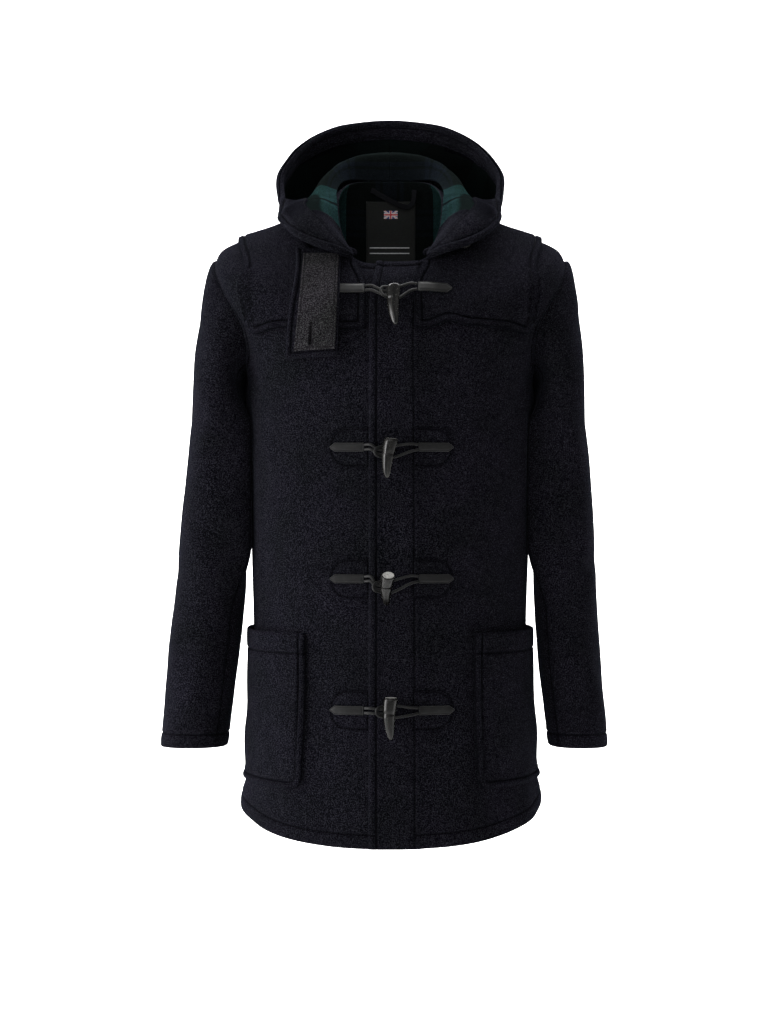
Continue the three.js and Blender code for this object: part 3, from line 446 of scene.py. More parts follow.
def sew(group, path, pitch=3.9, length=2.7, radius=0.34, lift=0.12):
    """Adds a row of stitches along a path of (points, normals)."""
    if path is None:
        return
    pts, nrm = path
    s = np.concatenate([[0], np.cumsum(np.linalg.norm(np.diff(pts, axis=0), axis=1))])
    keep = np.concatenate([[True], np.diff(s) > 1e-6])
    pts, nrm, s = pts[keep], nrm[keep], s[keep]
    n = int(s[-1] / pitch)
    if n < 1:
        return
    at = (np.arange(n) + 0.5) * s[-1] / n

    def read(a, q):
        return np.stack([np.interp(q, s, a[:, k]) for k in range(3)], -1)
    c, nn = read(pts, at), unit(read(nrm, at))
    a, b = read(pts, np.clip(at - length / 2, 0, s[-1])), read(pts, np.clip(at + length / 2, 0, s[-1]))
    t = unit(b - a)
    side = np.cross(t, nn)
    c = c + nn * lift
    rings = [a - nn * 0.35, None, None, b - nn * 0.35]
    verts = [rings[0][:, None]]
    for f in (-0.3, 0.3):
        o = c + t * (length * f)
        verts.append(np.stack([o + side * radius, o + nn * radius, o - side * radius, o - nn * radius], 1))
    verts.append(rings[3][:, None])
    V = np.concatenate(verts, axis=1)
    base = []
    for k in range(4):
        m = (k + 1) % 4
        base += [[0, 1 + m, 1 + k], [1 + k, 1 + m, 5 + m], [1 + k, 5 + m, 5 + k], [5 + k, 5 + m, 9]]
    F = (np.array(base)[None] + (np.arange(n) * 10)[:, None, None]).reshape(-1, 3)
    STITCHES.setdefault(group, []).append((V.reshape(-1, 3), F))


def catmull(points, samples=24):
    """Dense points of centripetal Catmull-Rom curves through points (curves, n, 3)."""
    p = np.asarray(points, float)
    e = np.concatenate([2 * p[:, :1] - p[:, 1:2], p, 2 * p[:, -1:] - p[:, -2:-1]], axis=1)
    t = np.linspace(0, 1, samples, endpoint=False)[None, :, None]
    out = []
    for k in range(p.shape[1] - 1):
        x0, x1, x2, x3 = (e[:, k + q][:, None] for q in range(4))
        d0, d1, d2 = (np.sqrt(np.linalg.norm(b - a, axis=-1, keepdims=True)) for a, b in ((x0, x1), (x1, x2), (x2, x3)))
        d1 = np.where(d1 < 1e-4, 1, d1)
        d0, d2 = np.where(d0 < 1e-4, d1, d0), np.where(d2 < 1e-4, d1, d2)
        t1 = ((x1 - x0) / d0 - (x2 - x0) / (d0 + d1) + (x2 - x1) / d1) * d1
        t2 = ((x2 - x1) / d1 - (x3 - x1) / (d1 + d2) + (x3 - x2) / d2) * d1
        out.append(x1 + t1 * t + (-3 * x1 + 3 * x2 - 2 * t1 - t2) * t ** 2 + (2 * x1 - 2 * x2 + t1 + t2) * t ** 3)
    out.append(p[:, -1:])
    return np.concatenate(out, axis=1)


def by_length(line, frac):
    """Points at fractions of the length of one dense line."""
    s = np.concatenate([[0], np.cumsum(np.linalg.norm(np.diff(line, axis=0), axis=1))])
    q = np.asarray(frac, float) * s[-1]
    return np.stack([np.interp(q, s, line[:, k]) for k in range(line.shape[1])], -1), s[-1]


# ------------------------------------------------------------------ materials
def material(name):
    m = bpy.data.materials.new(name)
    m.use_nodes = True
    tree = m.node_tree
    tree.nodes.clear()
    out = tree.nodes.new("ShaderNodeOutputMaterial")
    b = tree.nodes.new("ShaderNodeBsdfPrincipled")
    tree.links.new(b.outputs[0], out.inputs[0])
    return m, tree, b


def node(tree, kind, inputs=None, **props):
    n = tree.nodes.new(kind)
    for k, v in props.items():
        setattr(n, k, v)
    for k, v in (inputs or {}).items():
        if hasattr(v, "node"):
            tree.links.new(v, n.inputs[k])
        else:
            n.inputs[k].default_value = v
    return n


def noise(tree, coord, scale, detail=3, rough=0.6, stretch=None, lacunarity=2.0):
    if stretch is not None:
        coord = node(tree, "ShaderNodeMapping", {"Vector": coord, "Scale": stretch}).outputs[0]
    return node(tree, "ShaderNodeTexNoise", {"Vector": coord, "Scale": scale, "Detail": detail, "Roughness": rough, "Lacunarity": lacunarity}).outputs[0]


def math_node(tree, op, a, b=None, c=None, clamp=False):
    n = tree.nodes.new("ShaderNodeMath")
    n.operation = op
    n.use_clamp = clamp
    for k, v in enumerate((a, b, c)):
        if v is None:
            continue
        if hasattr(v, "node"):
            tree.links.new(v, n.inputs[k])
        else:
            n.inputs[k].default_value = v
    return n.outputs[0]


def ramp(tree, fac, stops, mode="LINEAR"):
    n = tree.nodes.new("ShaderNodeValToRGB")
    n.color_ramp.interpolation = mode
    e = n.color_ramp.elements
    while len(e) < len(stops):
        e.new(0.5)
    for el, (pos, col) in zip(e, stops):
        el.position = pos
        el.color = (*col, 1) if len(col) == 3 else col
    tree.links.new(fac, n.inputs[0])
    return n.outputs[0]


def mix(tree, fac, a, b, kind="MIX"):
    n = tree.nodes.new("ShaderNodeMix")
    n.data_type = "RGBA"
    n.blend_type = kind
    for k, v in ((0, fac), (6, a), (7, b)):
        if hasattr(v, "node"):
            tree.links.new(v, n.inputs[k])
        else:
            n.inputs[k].default_value = v if k == 0 else (*v, 1)
    return n.outputs[2]


def coords(tree, which="Object"):
    return tree.nodes.new("ShaderNodeTexCoord").outputs[which]


def bump(tree, height, strength, distance, normal=None):
    n = node(tree, "ShaderNodeBump", {"Height": height, "Strength": strength, "Distance": distance})
    if normal is not None:
        tree.links.new(normal, n.inputs["Normal"])
    return n.outputs[0]


def set_all(b, **values):
    for k, v in values.items():
        b.inputs[k.replace("_", " ")].default_value = v


def melton(name, dark, mid, light, rough=0.92, sheen=0.035, tint=(0.62, 0.66, 0.9), nap=1.0):
    """A thick milled wool: fibres lie over each other as a fine uneven nap, a little lighter at their tips."""
    m, t, b = material(name)
    c = coords(t)
    fine = noise(t, c, 770, 1, 0.6)
    hair = noise(t, c, 1080, 2, 0.6, (1.0, 1.0, 0.8))
    cloud = noise(t, c, 16, 3, 0.55)
    spots = math_node(t, "ADD", math_node(t, "MULTIPLY", fine, 0.62), math_node(t, "MULTIPLY", hair, 0.38))
    col = ramp(t, spots, [(0.38, dark), (0.50, mid), (0.62, light)])
    tone = ramp(t, cloud, [(0.30, (0.80, 0.84, 0.80)), (0.70, (1.18, 1.12, 1.24))])
    col = mix(t, 1.0, col, tone, "MULTIPLY")
    # The vertex attribute read here darkens the colour: along stitching it is partly pressed nap and partly painted
    # shade in the groove; along piece edges, in the buttonhole slit, under the hood's facing and deep in the hood it is
    # painted shade.
    stitch_press_and_shade = node(t, "ShaderNodeAttribute", attribute_name="press_and_shade").outputs["Fac"]
    col = mix(t, math_node(t, "MULTIPLY", stitch_press_and_shade, 0.78, clamp=True), col, tuple(0.25 * v for v in dark))
    t.links.new(col, b.inputs["Base Color"])
    t.links.new(ramp(t, spots, [(0.3, (rough + 0.06,) * 3), (0.75, (rough - 0.10,) * 3)]), b.inputs["Roughness"])
    high = math_node(t, "ADD", math_node(t, "MULTIPLY", fine, 0.6), math_node(t, "MULTIPLY", hair, 0.9))
    t.links.new(bump(t, high, 0.55 * nap, 0.0009), b.inputs["Normal"])
    set_all(b, Sheen_Weight=sheen, Sheen_Roughness=0.5, Sheen_Tint=(*tint, 1), Specular_IOR_Level=0.0)
    return m


NAVY = melton("melton_navy", (0.0005, 0.00053, 0.0010), (0.0034, 0.0034, 0.0047), (0.0168, 0.0170, 0.0208), sheen=0.02)
EDGE_FELT = melton("felt_charcoal", (0.003, 0.003, 0.0034), (0.0135, 0.0133, 0.0143), (0.048, 0.047, 0.048), sheen=0.02, tint=(0.8, 0.8, 0.85), nap=0.9)


def check_cloth(name):
    """The inside of the cloth: a dark woven check of green, navy and black with a fine twill."""
    m, t, b = material(name)
    uv = node(t, "ShaderNodeUVMap", uv_map="cloth").outputs[0]
    sep = node(t, "ShaderNodeSeparateXYZ", {0: uv})
    sett = 0.2
    green, navy, black, teal = (0.0085, 0.0265, 0.0262), (0.0038, 0.0050, 0.0072), (0.0026, 0.0034, 0.0034), (0.0125, 0.036, 0.037)
    stops = [(0.0, navy), (0.05, black), (0.07, navy), (0.10, black), (0.31, green), (0.46, teal), (0.49, black), (0.51, teal), (0.54, green), (0.69, black), (0.90, navy), (0.93, black), (0.95, navy)]
    threads = []
    for axis in (0, 1):
        f = math_node(t, "FRACT", math_node(t, "DIVIDE", sep.outputs[axis], sett))
        threads.append(ramp(t, f, stops, "CONSTANT"))
    tw = math_node(t, "FRACT", math_node(t, "MULTIPLY", math_node(t, "ADD", sep.outputs[0], sep.outputs[1]), 1 / 0.0022))
    over = ramp(t, tw, [(0.0, (0, 0, 0)), (0.45, (0, 0, 0)), (0.55, (1, 1, 1)), (1.0, (1, 1, 1))])
    c = coords(t)
    fine = noise(t, c, 760, 3, 0.65)
    col = mix(t, over, threads[0], threads[1])
    col = mix(t, 1.0, col, ramp(t, fine, [(0.3, (0.45, 0.45, 0.45)), (0.7, (1.75, 1.75, 1.75))]), "MULTIPLY")
    # The vertex attribute read here paints shade on the check: it darkens towards black deep in the hood's crown.
    check_painted_shade = node(t, "ShaderNodeAttribute", attribute_name="press_and_shade").outputs["Fac"]
    col = mix(t, math_node(t, "MULTIPLY", check_painted_shade, 0.92, clamp=True), col, tuple(0.8 * v for v in black))
    t.links.new(col, b.inputs["Base Color"])
    high = math_node(t, "ADD", math_node(t, "MULTIPLY", over, 0.35), fine)
    t.links.new(bump(t, high, 0.5, 0.0008), b.inputs["Normal"])
    set_all(b, Roughness=0.92, Sheen_Weight=0.012, Sheen_Roughness=0.5, Sheen_Tint=(0.55, 0.85, 0.8, 1), Specular_IOR_Level=0.0)
    return m


CHECK = check_cloth("melton_check_side")


def leather(name):
    m, t, b = material(name)
    c = coords(t)
    grain = node(t, "ShaderNodeTexVoronoi", {"Vector": c, "Scale": 1500.0}).outputs[0]
    fine = noise(t, c, 2400, 2, 0.5)
    worn = noise(t, c, 120, 4, 0.6)
    col = ramp(t, worn, [(0.30, (0.0024, 0.0025, 0.0026)), (0.62, (0.0056, 0.0058, 0.0060)), (0.80, (0.016, 0.0163, 0.0165))])
    t.links.new(col, b.inputs["Base Color"])
    t.links.new(ramp(t, worn, [(0.3, (0.34,) * 3), (0.75, (0.52,) * 3)]), b.inputs["Roughness"])
    high = math_node(t, "ADD", math_node(t, "MULTIPLY", grain, 0.8), math_node(t, "MULTIPLY", fine, 0.3))
    t.links.new(bump(t, high, 0.35, 0.0003), b.inputs["Normal"])
    set_all(b, Specular_IOR_Level=0.22, Coat_Weight=0.02, Coat_Roughness=0.35)
    return m


LEATHER = leather("leather_black")


def horn(name, cut=False):
    """Polished dark horn, with paler streaks along its length."""
    m, t, b = material(name)
    uv = node(t, "ShaderNodeUVMap", uv_map="cloth").outputs[0]
    c = coords(t)
    streak = noise(t, uv, 1.0, 4, 0.65, (260.0, 9.0, 1.0))
    band = noise(t, uv, 1.0, 2, 0.5, (60.0, 22.0, 1.0))
    if cut:
        body_noise = noise(t, c, 420, 4, 0.6)
        col = ramp(t, body_noise, [(0.30, (0.19, 0.187, 0.178)), (0.55, (0.38, 0.376, 0.36)), (0.75, (0.56, 0.55, 0.53))])
    else:
        s = math_node(t, "ADD", math_node(t, "MULTIPLY", streak, 0.72), math_node(t, "MULTIPLY", band, 0.28))
        col = ramp(t, s, [(0.42, (0.0016, 0.0016, 0.0015)), (0.54, (0.0048, 0.0047, 0.0043)), (0.63, (0.020, 0.0193, 0.017)), (0.72, (0.078, 0.075, 0.066))])
    t.links.new(col, b.inputs["Base Color"])
    t.links.new(ramp(t, noise(t, c, 300, 3, 0.6), [(0.3, (0.14,) * 3), (0.7, (0.30,) * 3)]), b.inputs["Roughness"])
    t.links.new(bump(t, streak, 0.12, 0.0004), b.inputs["Normal"])
    set_all(b, Specular_IOR_Level=0.26, Coat_Weight=0.07, Coat_Roughness=0.08)
    return m


HORN, HORN_CUT = horn("horn_dark"), horn("horn_cut", cut=True)


def plain(name, colour, rough, weave=None, **more):
    m, t, b = material(name)
    c = coords(t)
    n = noise(t, c, 900, 3, 0.6)
    dark, light = tuple(0.7 * v for v in colour), tuple(1.35 * v for v in colour)
    col = ramp(t, n, [(0.3, dark), (0.7, light)])
    high = n
    if weave:
        uv = node(t, "ShaderNodeUVMap", uv_map="cloth").outputs[0]
        sep = node(t, "ShaderNodeSeparateXYZ", {0: uv})
        a = math_node(t, "SINE", math_node(t, "MULTIPLY", sep.outputs[0], 2 * math.pi / weave[0]))
        bb = math_node(t, "SINE", math_node(t, "MULTIPLY", math_node(t, "ADD", sep.outputs[1], math_node(t, "MULTIPLY", sep.outputs[0], weave[2])), 2 * math.pi / weave[1]))
        high = math_node(t, "ADD", math_node(t, "MULTIPLY", math_node(t, "ADD", a, bb), 0.4), n)
    t.links.new(col, b.inputs["Base Color"])
    t.links.new(bump(t, high, 0.4, 0.0003), b.inputs["Normal"])
    t.links.new(ramp(t, n, [(0.3, (min(1, rough + 0.06),) * 3), (0.7, (rough - 0.06,) * 3)]), b.inputs["Roughness"])
    set_all(b, **more)
    return m


THREAD = plain("thread_navy", (0.0022, 0.0022, 0.0034), 0.8, Specular_IOR_Level=0.06)
THREAD_BLACK = plain("thread_black", (0.003, 0.003, 0.0033), 0.6, Specular_IOR_Level=0.15)
SATIN = plain("label_satin", (0.0092, 0.0102, 0.0098), 0.5, (0.0006, 0.0011, 0.4), Specular_IOR_Level=0.16)
TAPE = plain("tape_dark", (0.0052, 0.0056, 0.0068), 0.85, (0.0011, 0.0016, 1.0), Specular_IOR_Level=0.05)
BUTTON = plain("button_horn", (0.006, 0.006, 0.0065), 0.25, Specular_IOR_Level=0.4, Coat_Weight=0.2, Coat_Roughness=0.1)
YARN = {
    "white": plain("yarn_white", (0.62, 0.62, 0.60), 0.5), "grey": plain("yarn_grey", (0.36, 0.37, 0.38), 0.5),
    "red": plain("yarn_red", (0.42, 0.025, 0.03), 0.5), "blue": plain("yarn_blue", (0.018, 0.03, 0.13), 0.5),
}
FABRIC = [NAVY, CHECK]


# ------------------------------------------------------------------ keeping count of the pieces
def place(obj, nodes=()):
    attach(obj, "root")
    if nodes:
        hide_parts(*nodes)
    return obj


SHEETS = []          # (object, slot, nodes, held, rests_on, stitch groups)


def cloth(obj, node_name, held, rests_on, slot="wool", groups=()):
    SHEETS.append((obj, slot, node_name, held, rests_on, groups))


# ------------------------------------------------------------------ fronts and back
def edge_angle(h, which):
    return np.where(h <= ARMPIT, SIDE_SEAM, np.where(h >= SHOULDER, 90.0, ARMHOLE((h - ARMPIT) / (SHOULDER - ARMPIT))[which]))


def gap_at(h):
    return np.where(h > 1.48, -0.20, -0.12)          # sewn panels meet


H = np.concatenate([np.linspace(0, 0.3, 60, endpoint=False), np.linspace(0.3, 1.0, 110, endpoint=False), np.linspace(1.0, 1.12, 40, endpoint=False), np.linspace(1.12, 2.0, 120)])
CELL = 4.4


def body_grid(th, h, off):
    P, N = body_out(th, h, off)
    return np.concatenate([P, N, th[..., None], h[..., None]], -1)


def panel(name, A, left, right, bottom, top, heights, lip, groups=()):
    A = resample(A, 1, bottom, top, CELL)
    A = resample(A, 0, left, right, CELL)
    P, N = A[..., :3], unit(A[..., 3:6])
    low, high, press_and_shade_mask = heights(A, P)
    L, M = along(P), along(P.transpose(1, 0, 2)).T
    uv = np.stack([L - L[len(L) // 2] if name == "back" else L, M - M[:, -1:] + 60], -1)
    obj, face = shell(name, P, N, low, high, FABRIC, lip, uv=uv, press_and_shade_mask=press_and_shade_mask)
    return obj, face, N, A


def front(name, side):
    h = H[None, :]
    start = theta_at_x(-LAP + 8.5 * smooth(1.45, 2.0, h), h) if side > 0 else theta_at_x(-LAP + 0 * h, h)
    end = edge_angle(h, "front") - gap_at(h)
    u = np.concatenate([np.linspace(0, 0.3, 60, endpoint=False), np.linspace(0.3, 1, 110)])[:, None]
    th = side * lerp(start, end, u)
    hh = np.broadcast_to(h, th.shape)
    x = body(th, hh)[..., 0]
    off = panel_top(x) - CLOTH if side > 0 else np.zeros(x.shape)
    A = body_grid(th, hh, off)
    facing = [30, 45, 56.5, 57.7, 58.5, 59.3, 60.5, 64]

    def heights(A, P):
        du0, du1, dv0, dv1 = edges_of(A)
        z = P[..., 2]
        hv = A[..., 7]
        high = np.full(du0.shape, CLOTH)
        high = high + welt(du0, 9.6, 1.7 if side > 0 else 0.4, 1.5 if side > 0 else 0.4)
        hem, pr = welt(dv0, 18, 0.8, 1.4, 1.3), press_and_shade(dv0, 18)
        if side > 0:
            high = high - 1.3 * np.exp(-((du0 - 58.5) / 1.2) ** 2) + 0.35 * np.exp(-((du0 - 63) / 3) ** 2)
            keep = smooth(57, 60, du0) + (1 - smooth(8, 10, du0))
            hem, pr = hem * keep, np.maximum(np.maximum(pr * keep, press_and_shade(du0, 9.6)), press_and_shade(du0, 58.5) * smooth(2, 6, dv1))
        high = high + hem
        arm = smooth(1.03, 1.08, hv) * (1 - smooth(1.47, 1.5, hv))
        high = high + arm * (welt(du1, 9.6, 0.6, 1.2))
        pr = np.maximum(pr, arm * press_and_shade(du1, 9.6))
        high = high + (1 - smooth(0.98, 1.0, hv)) * (-0.5 * np.exp(-(du1 / 1.8) ** 2))
        high = high + 0.9 * np.exp(-((dv1 - 6) / 4.5) ** 2) - 1.2 * np.exp(-((dv1 - 11) / 1.2) ** 2)
        # the third value darkens the colour along the stitch lines: pressed nap with painted shade in the grooves
        return np.zeros(du0.shape), high, np.maximum(pr, press_and_shade(dv1, 11))
    obj, face, N, A = panel(name, A, WELT + facing[0:0] + ([20, 30, 42, 53] + facing[2:] if side > 0 else []), WELT, HEM, LIPS + [2.5, 5, 8, 9.8, 10.4, 11, 11.6, 12.4, 15], heights, (1.6, 0.8, 1.8, 1.2))
    du0, du1, dv0, dv1 = edges_of(A)
    hv = A[..., 7]
    g = f"stitches_{name}"
    clear = dv0 > 18.2
    if side > 0:
        sew(g, crossing(face, N, du0, 9.6, 0, (dv1 > 10)))
        sew(g, crossing(face, N, du0, 58.5, 0, (dv1 > 3)))
        sew(g, crossing(face, N, dv0, 18, 1, (du0 > 58.5)))
    else:
        sew(g, crossing(face, N, dv0, 18, 1))
    sew(g, crossing(face, N, du1, 9.6, 0, (hv > 1.06) & (hv < 1.5), last=True))
    sew(g, crossing(face, N, dv1, 11, 1, None, last=True))
    cloth(obj, name, "hung", ["back"], groups=[g])
    return obj


def back_panel():
    h = H[None, :]
    e = edge_angle(h, "back") + gap_at(h)
    u = np.linspace(0, 1, 240)[:, None]
    th = lerp(e, 360 - e, u)
    hh = np.broadcast_to(h, th.shape)
    A = body_grid(th, hh, np.zeros(th.shape))

    def heights(A, P):
        du0, du1, dv0, dv1 = edges_of(A)
        hv = A[..., 7]
        arm = smooth(1.03, 1.08, hv) * (1 - smooth(1.47, 1.5, hv))
        high = CLOTH + welt(dv0, 18, 0.8, 1.4, 1.3) + arm * (welt(du0, 9.6, 0.6, 1.2) + welt(du1, 9.6, 0.6, 1.2))
        # the third value darkens the colour along the stitch lines: pressed nap with painted shade in the grooves
        return np.zeros(du0.shape), high, np.maximum(press_and_shade(dv0, 18), arm * np.maximum(press_and_shade(du0, 9.6), press_and_shade(du1, 9.6)))
    obj, face, N, A = panel("back", A, WELT, WELT, HEM, LIPS + [3, 6], heights, (0.8, 0.8, 1.8, 1.0))
    du0, du1, dv0, dv1 = edges_of(A)
    hv = A[..., 7]
    sew("stitches_back", crossing(face, N, dv0, 18, 1))
    for d, last in ((du0, False), (du1, True)):
        sew("stitches_back", crossing(face, N, d, 9.6, 0, (hv > 1.06) & (hv < 1.5), last=last))
    cloth(obj, "back", "hung", ["yoke"], groups=["stitches_back"])


front("front_left", 1)
front("front_right", -1)
back_panel()


# ------------------------------------------------------------------ sleeves
CAP_Z, CUFF_Z = -300.0, -735.0
# folds of the sleeves: degrees round the arm (0 outside, 90 front), height, as above
SLEEVE_FOLDS = {
    1: [[20, -150, 70, -215, 8, 13, -1.1], [70, -250, 118, -300, 8, 13, -1.5], [95, -280, 60, -350, -6, 15, 1.2],
        [40, -430, 110, -470, 8, 14, -1.6], [60, -470, 115, -505, -6, 13, 1.5], [10, -480, 70, -515, 8, 14, -1.3],
        [70, -600, 20, -700, 8, 16, 1.0], [100, -560, 80, -690, -6, 15, -1.1],
        [-80, -420, -130, -470, 8, 15, -1.8], [-60, -470, -120, -520, 8, 15, 1.6], [-90, -300, -60, -380, 8, 16, -1.4], [-70, -600, -40, -700, 8, 16, -1.2]],
    -1: [[15, -155, 66, -225, 8, 13, -1.1], [72, -240, 120, -300, 8, 13, -1.5], [98, -290, 64, -365, -6, 15, 1.2],
         [36, -415, 104, -462, 8, 14, -1.7], [56, -462, 112, -500, -6, 13, 1.4], [8, -500, 66, -535, 8, 14, -1.3],
         [66, -590, 24, -700, 8, 16, -1.0], [104, -570, 84, -690, -6, 15, 1.1],
         [-78, -430, -128, -476, 8, 15, -1.8], [-62, -480, -118, -526, 8, 15, 1.6], [-88, -310, -62, -386, 8, 16, -1.4], [-72, -590, -44, -700, 8, 16, 1.2]],
}


def armhole_point(phi):
    a = np.mod(phi, 360)
    t = (1 + np.cos(a * RAD)) / 2
    row = ARMHOLE(t)
    P, _ = body_out(np.where(a <= 180, row["front"], row["back"]), ARMPIT + (SHOULDER - ARMPIT) * t, CLOTH + 0 * t)
    return P - unit(np.array([214, 8, -160]) - P) * 1.6          # the seam laps a little under the panels


def sleeve_section(side, phi, z):
    r = SLEEVE[side](z)
    c, s, e = np.cos(phi * RAD), np.sin(phi * RAD), 2 / r["p"]
    full = 5.0 * np.exp(-((z + 400) / 125) ** 2) * (side > 0) - 2.6 * np.exp(-((z + 172) / 46) ** 2)
    turn = np.abs(np.mod(phi, 360) - 132) / 46
    hug = np.where(turn < 1, 21.5 * np.cos(math.pi / 2 * np.minimum(turn, 1)) ** 2 * smooth(-556, -456, z), 0)
    return np.stack([(r["outer"] + r["inner"]) / 2 + (r["outer"] - r["inner"]) / 2 * np.sign(c) * np.abs(c) ** e - hug + full * smooth(-0.2, 0.7, c),
                     (r["front"] + r["back"]) / 2 - (r["back"] - r["front"]) / 2 * np.sign(s) * np.abs(s) ** e, z + 0 * phi], -1)


def sleeve_point(side, phi, k):
    phi, k = np.broadcast_arrays(np.asarray(phi, float), np.asarray(k, float))
    low = sleeve_section(side, phi, lerp(CAP_Z, CUFF_Z, np.maximum(k, 1) - 1))
    c, s = np.cos(phi * RAD), np.sin(phi * RAD)
    a, b = armhole_point(phi), sleeve_section(side, phi, np.full(phi.shape, CAP_Z))
    m = a + np.stack([45 + 8.5 * c - 28.5 * c * c, -22 * s, -33 - 7 * c + 27 * c * c], -1)
    q = np.minimum(k, 1)[..., None]
    cap = a * (1 - q) ** 2 + m * 2 * q * (1 - q) + b * q * q
    return np.where((k >= 1)[..., None], low, cap)


def sleeve_piece(name, side, start, end):
    gap = -0.25
    phi = np.linspace(start + gap, end - gap, int(abs(end - start) / 1.6))[:, None]
    k = np.concatenate([np.linspace(0, 1, 90, endpoint=False), np.linspace(1, 2, 120)])[None, :]
    P = sleeve_point(side, phi, k)
    P = P + np.stack([0 * P[..., 0], 0 * P[..., 0], 4.5 * smooth(1.72, 2.0, k + 0 * phi) * (1 + np.sin(phi * RAD)) / 2], -1)
    a = sleeve_point(side, phi + 2, k) - sleeve_point(side, phi - 2, k)
    b = sleeve_point(side, phi, np.minimum(2, k + 0.03)) - sleeve_point(side, phi, np.maximum(0, k - 0.03))
    N = unit(np.cross(a, b))
    ph = np.broadcast_to(phi, P.shape[:2])
    kk = np.broadcast_to(k, P.shape[:2])
    w = (ph + 180) % 360 - 180
    r = folds(w * 1.05, P[..., 2], SLEEVE_FOLDS[side], 1.05, 71 if side > 0 else 91)
    r = r + 0.55 * wobble(P * np.array([side, 1, 1]), 95, 8 + side) + 0.25 * wobble(P, 44, 18 + side)
    inside = smooth(105, 130, np.abs(w))
    r = np.where(r > 0, r * (1 - inside), r) * smooth(0.05, 0.45, kk)
    r = r + np.exp(-(w / 66) ** 2) * ((3.8 if side > 0 else 1.5) * np.exp(-((P[..., 2] + 74) / 26) ** 2) * smooth(0.0, 0.10, kk) - 4.0 * np.exp(-((P[..., 2] + 168) / 60) ** 2))
    P = P + N * r[..., None]
    P, N = P * np.array([side, 1, 1]), N * np.array([side, 1, 1])
    A = np.concatenate([P, N, ph[..., None], kk[..., None]], -1)
    A = resample(A, 1, LIPS + [2.5, 5], HEM, CELL)
    A = resample(A, 0, LIPS + [2.4, 5], LIPS + [2.4, 5], CELL)
    du0, du1, dv0, dv1 = edges_of(A)
    high = welt(dv1, 18, 0.8, 1.4, 1.3) + 0.5 * np.exp(-((dv0 - 5) / 4) ** 2)
    seams = np.exp(-(du0 / 2.0) ** 2) + np.exp(-(du1 / 2.0) ** 2)
    high = high - 0.6 * seams + 0.3 * (np.exp(-((du0 - 5) / 2.5) ** 2) + np.exp(-((du1 - 5) / 2.5) ** 2))
    P, N = A[..., :3], unit(A[..., 3:6])
    # the colour darkens along the hem stitching and both seams: painted shade in the seam grooves, with some pressed
    # nap
    obj, face = shell(name, P, N, -CLOTH + 0 * high, high, FABRIC, (0.8, 0.8, 0.8, 1.8), press_and_shade_mask=np.maximum(press_and_shade(dv1, 18), 0.8 * seams))
    g = f"stitches_{name}"
    sew(g, crossing(face, N, dv1, 18, 1, last=True))
    cloth(obj, name, "hung", ["front_left" if side > 0 else "front_right", "back"], groups=[g])


FRONT_SEAM = math.degrees(math.acos(2 * 0.16 - 1))
for word, side in (("left", 1), ("right", -1)):
    sleeve_piece(f"sleeve_upper_{word}", side, -FRONT_SEAM, FRONT_SEAM)
    sleeve_piece(f"sleeve_under_{word}", side, FRONT_SEAM, 360 - FRONT_SEAM)


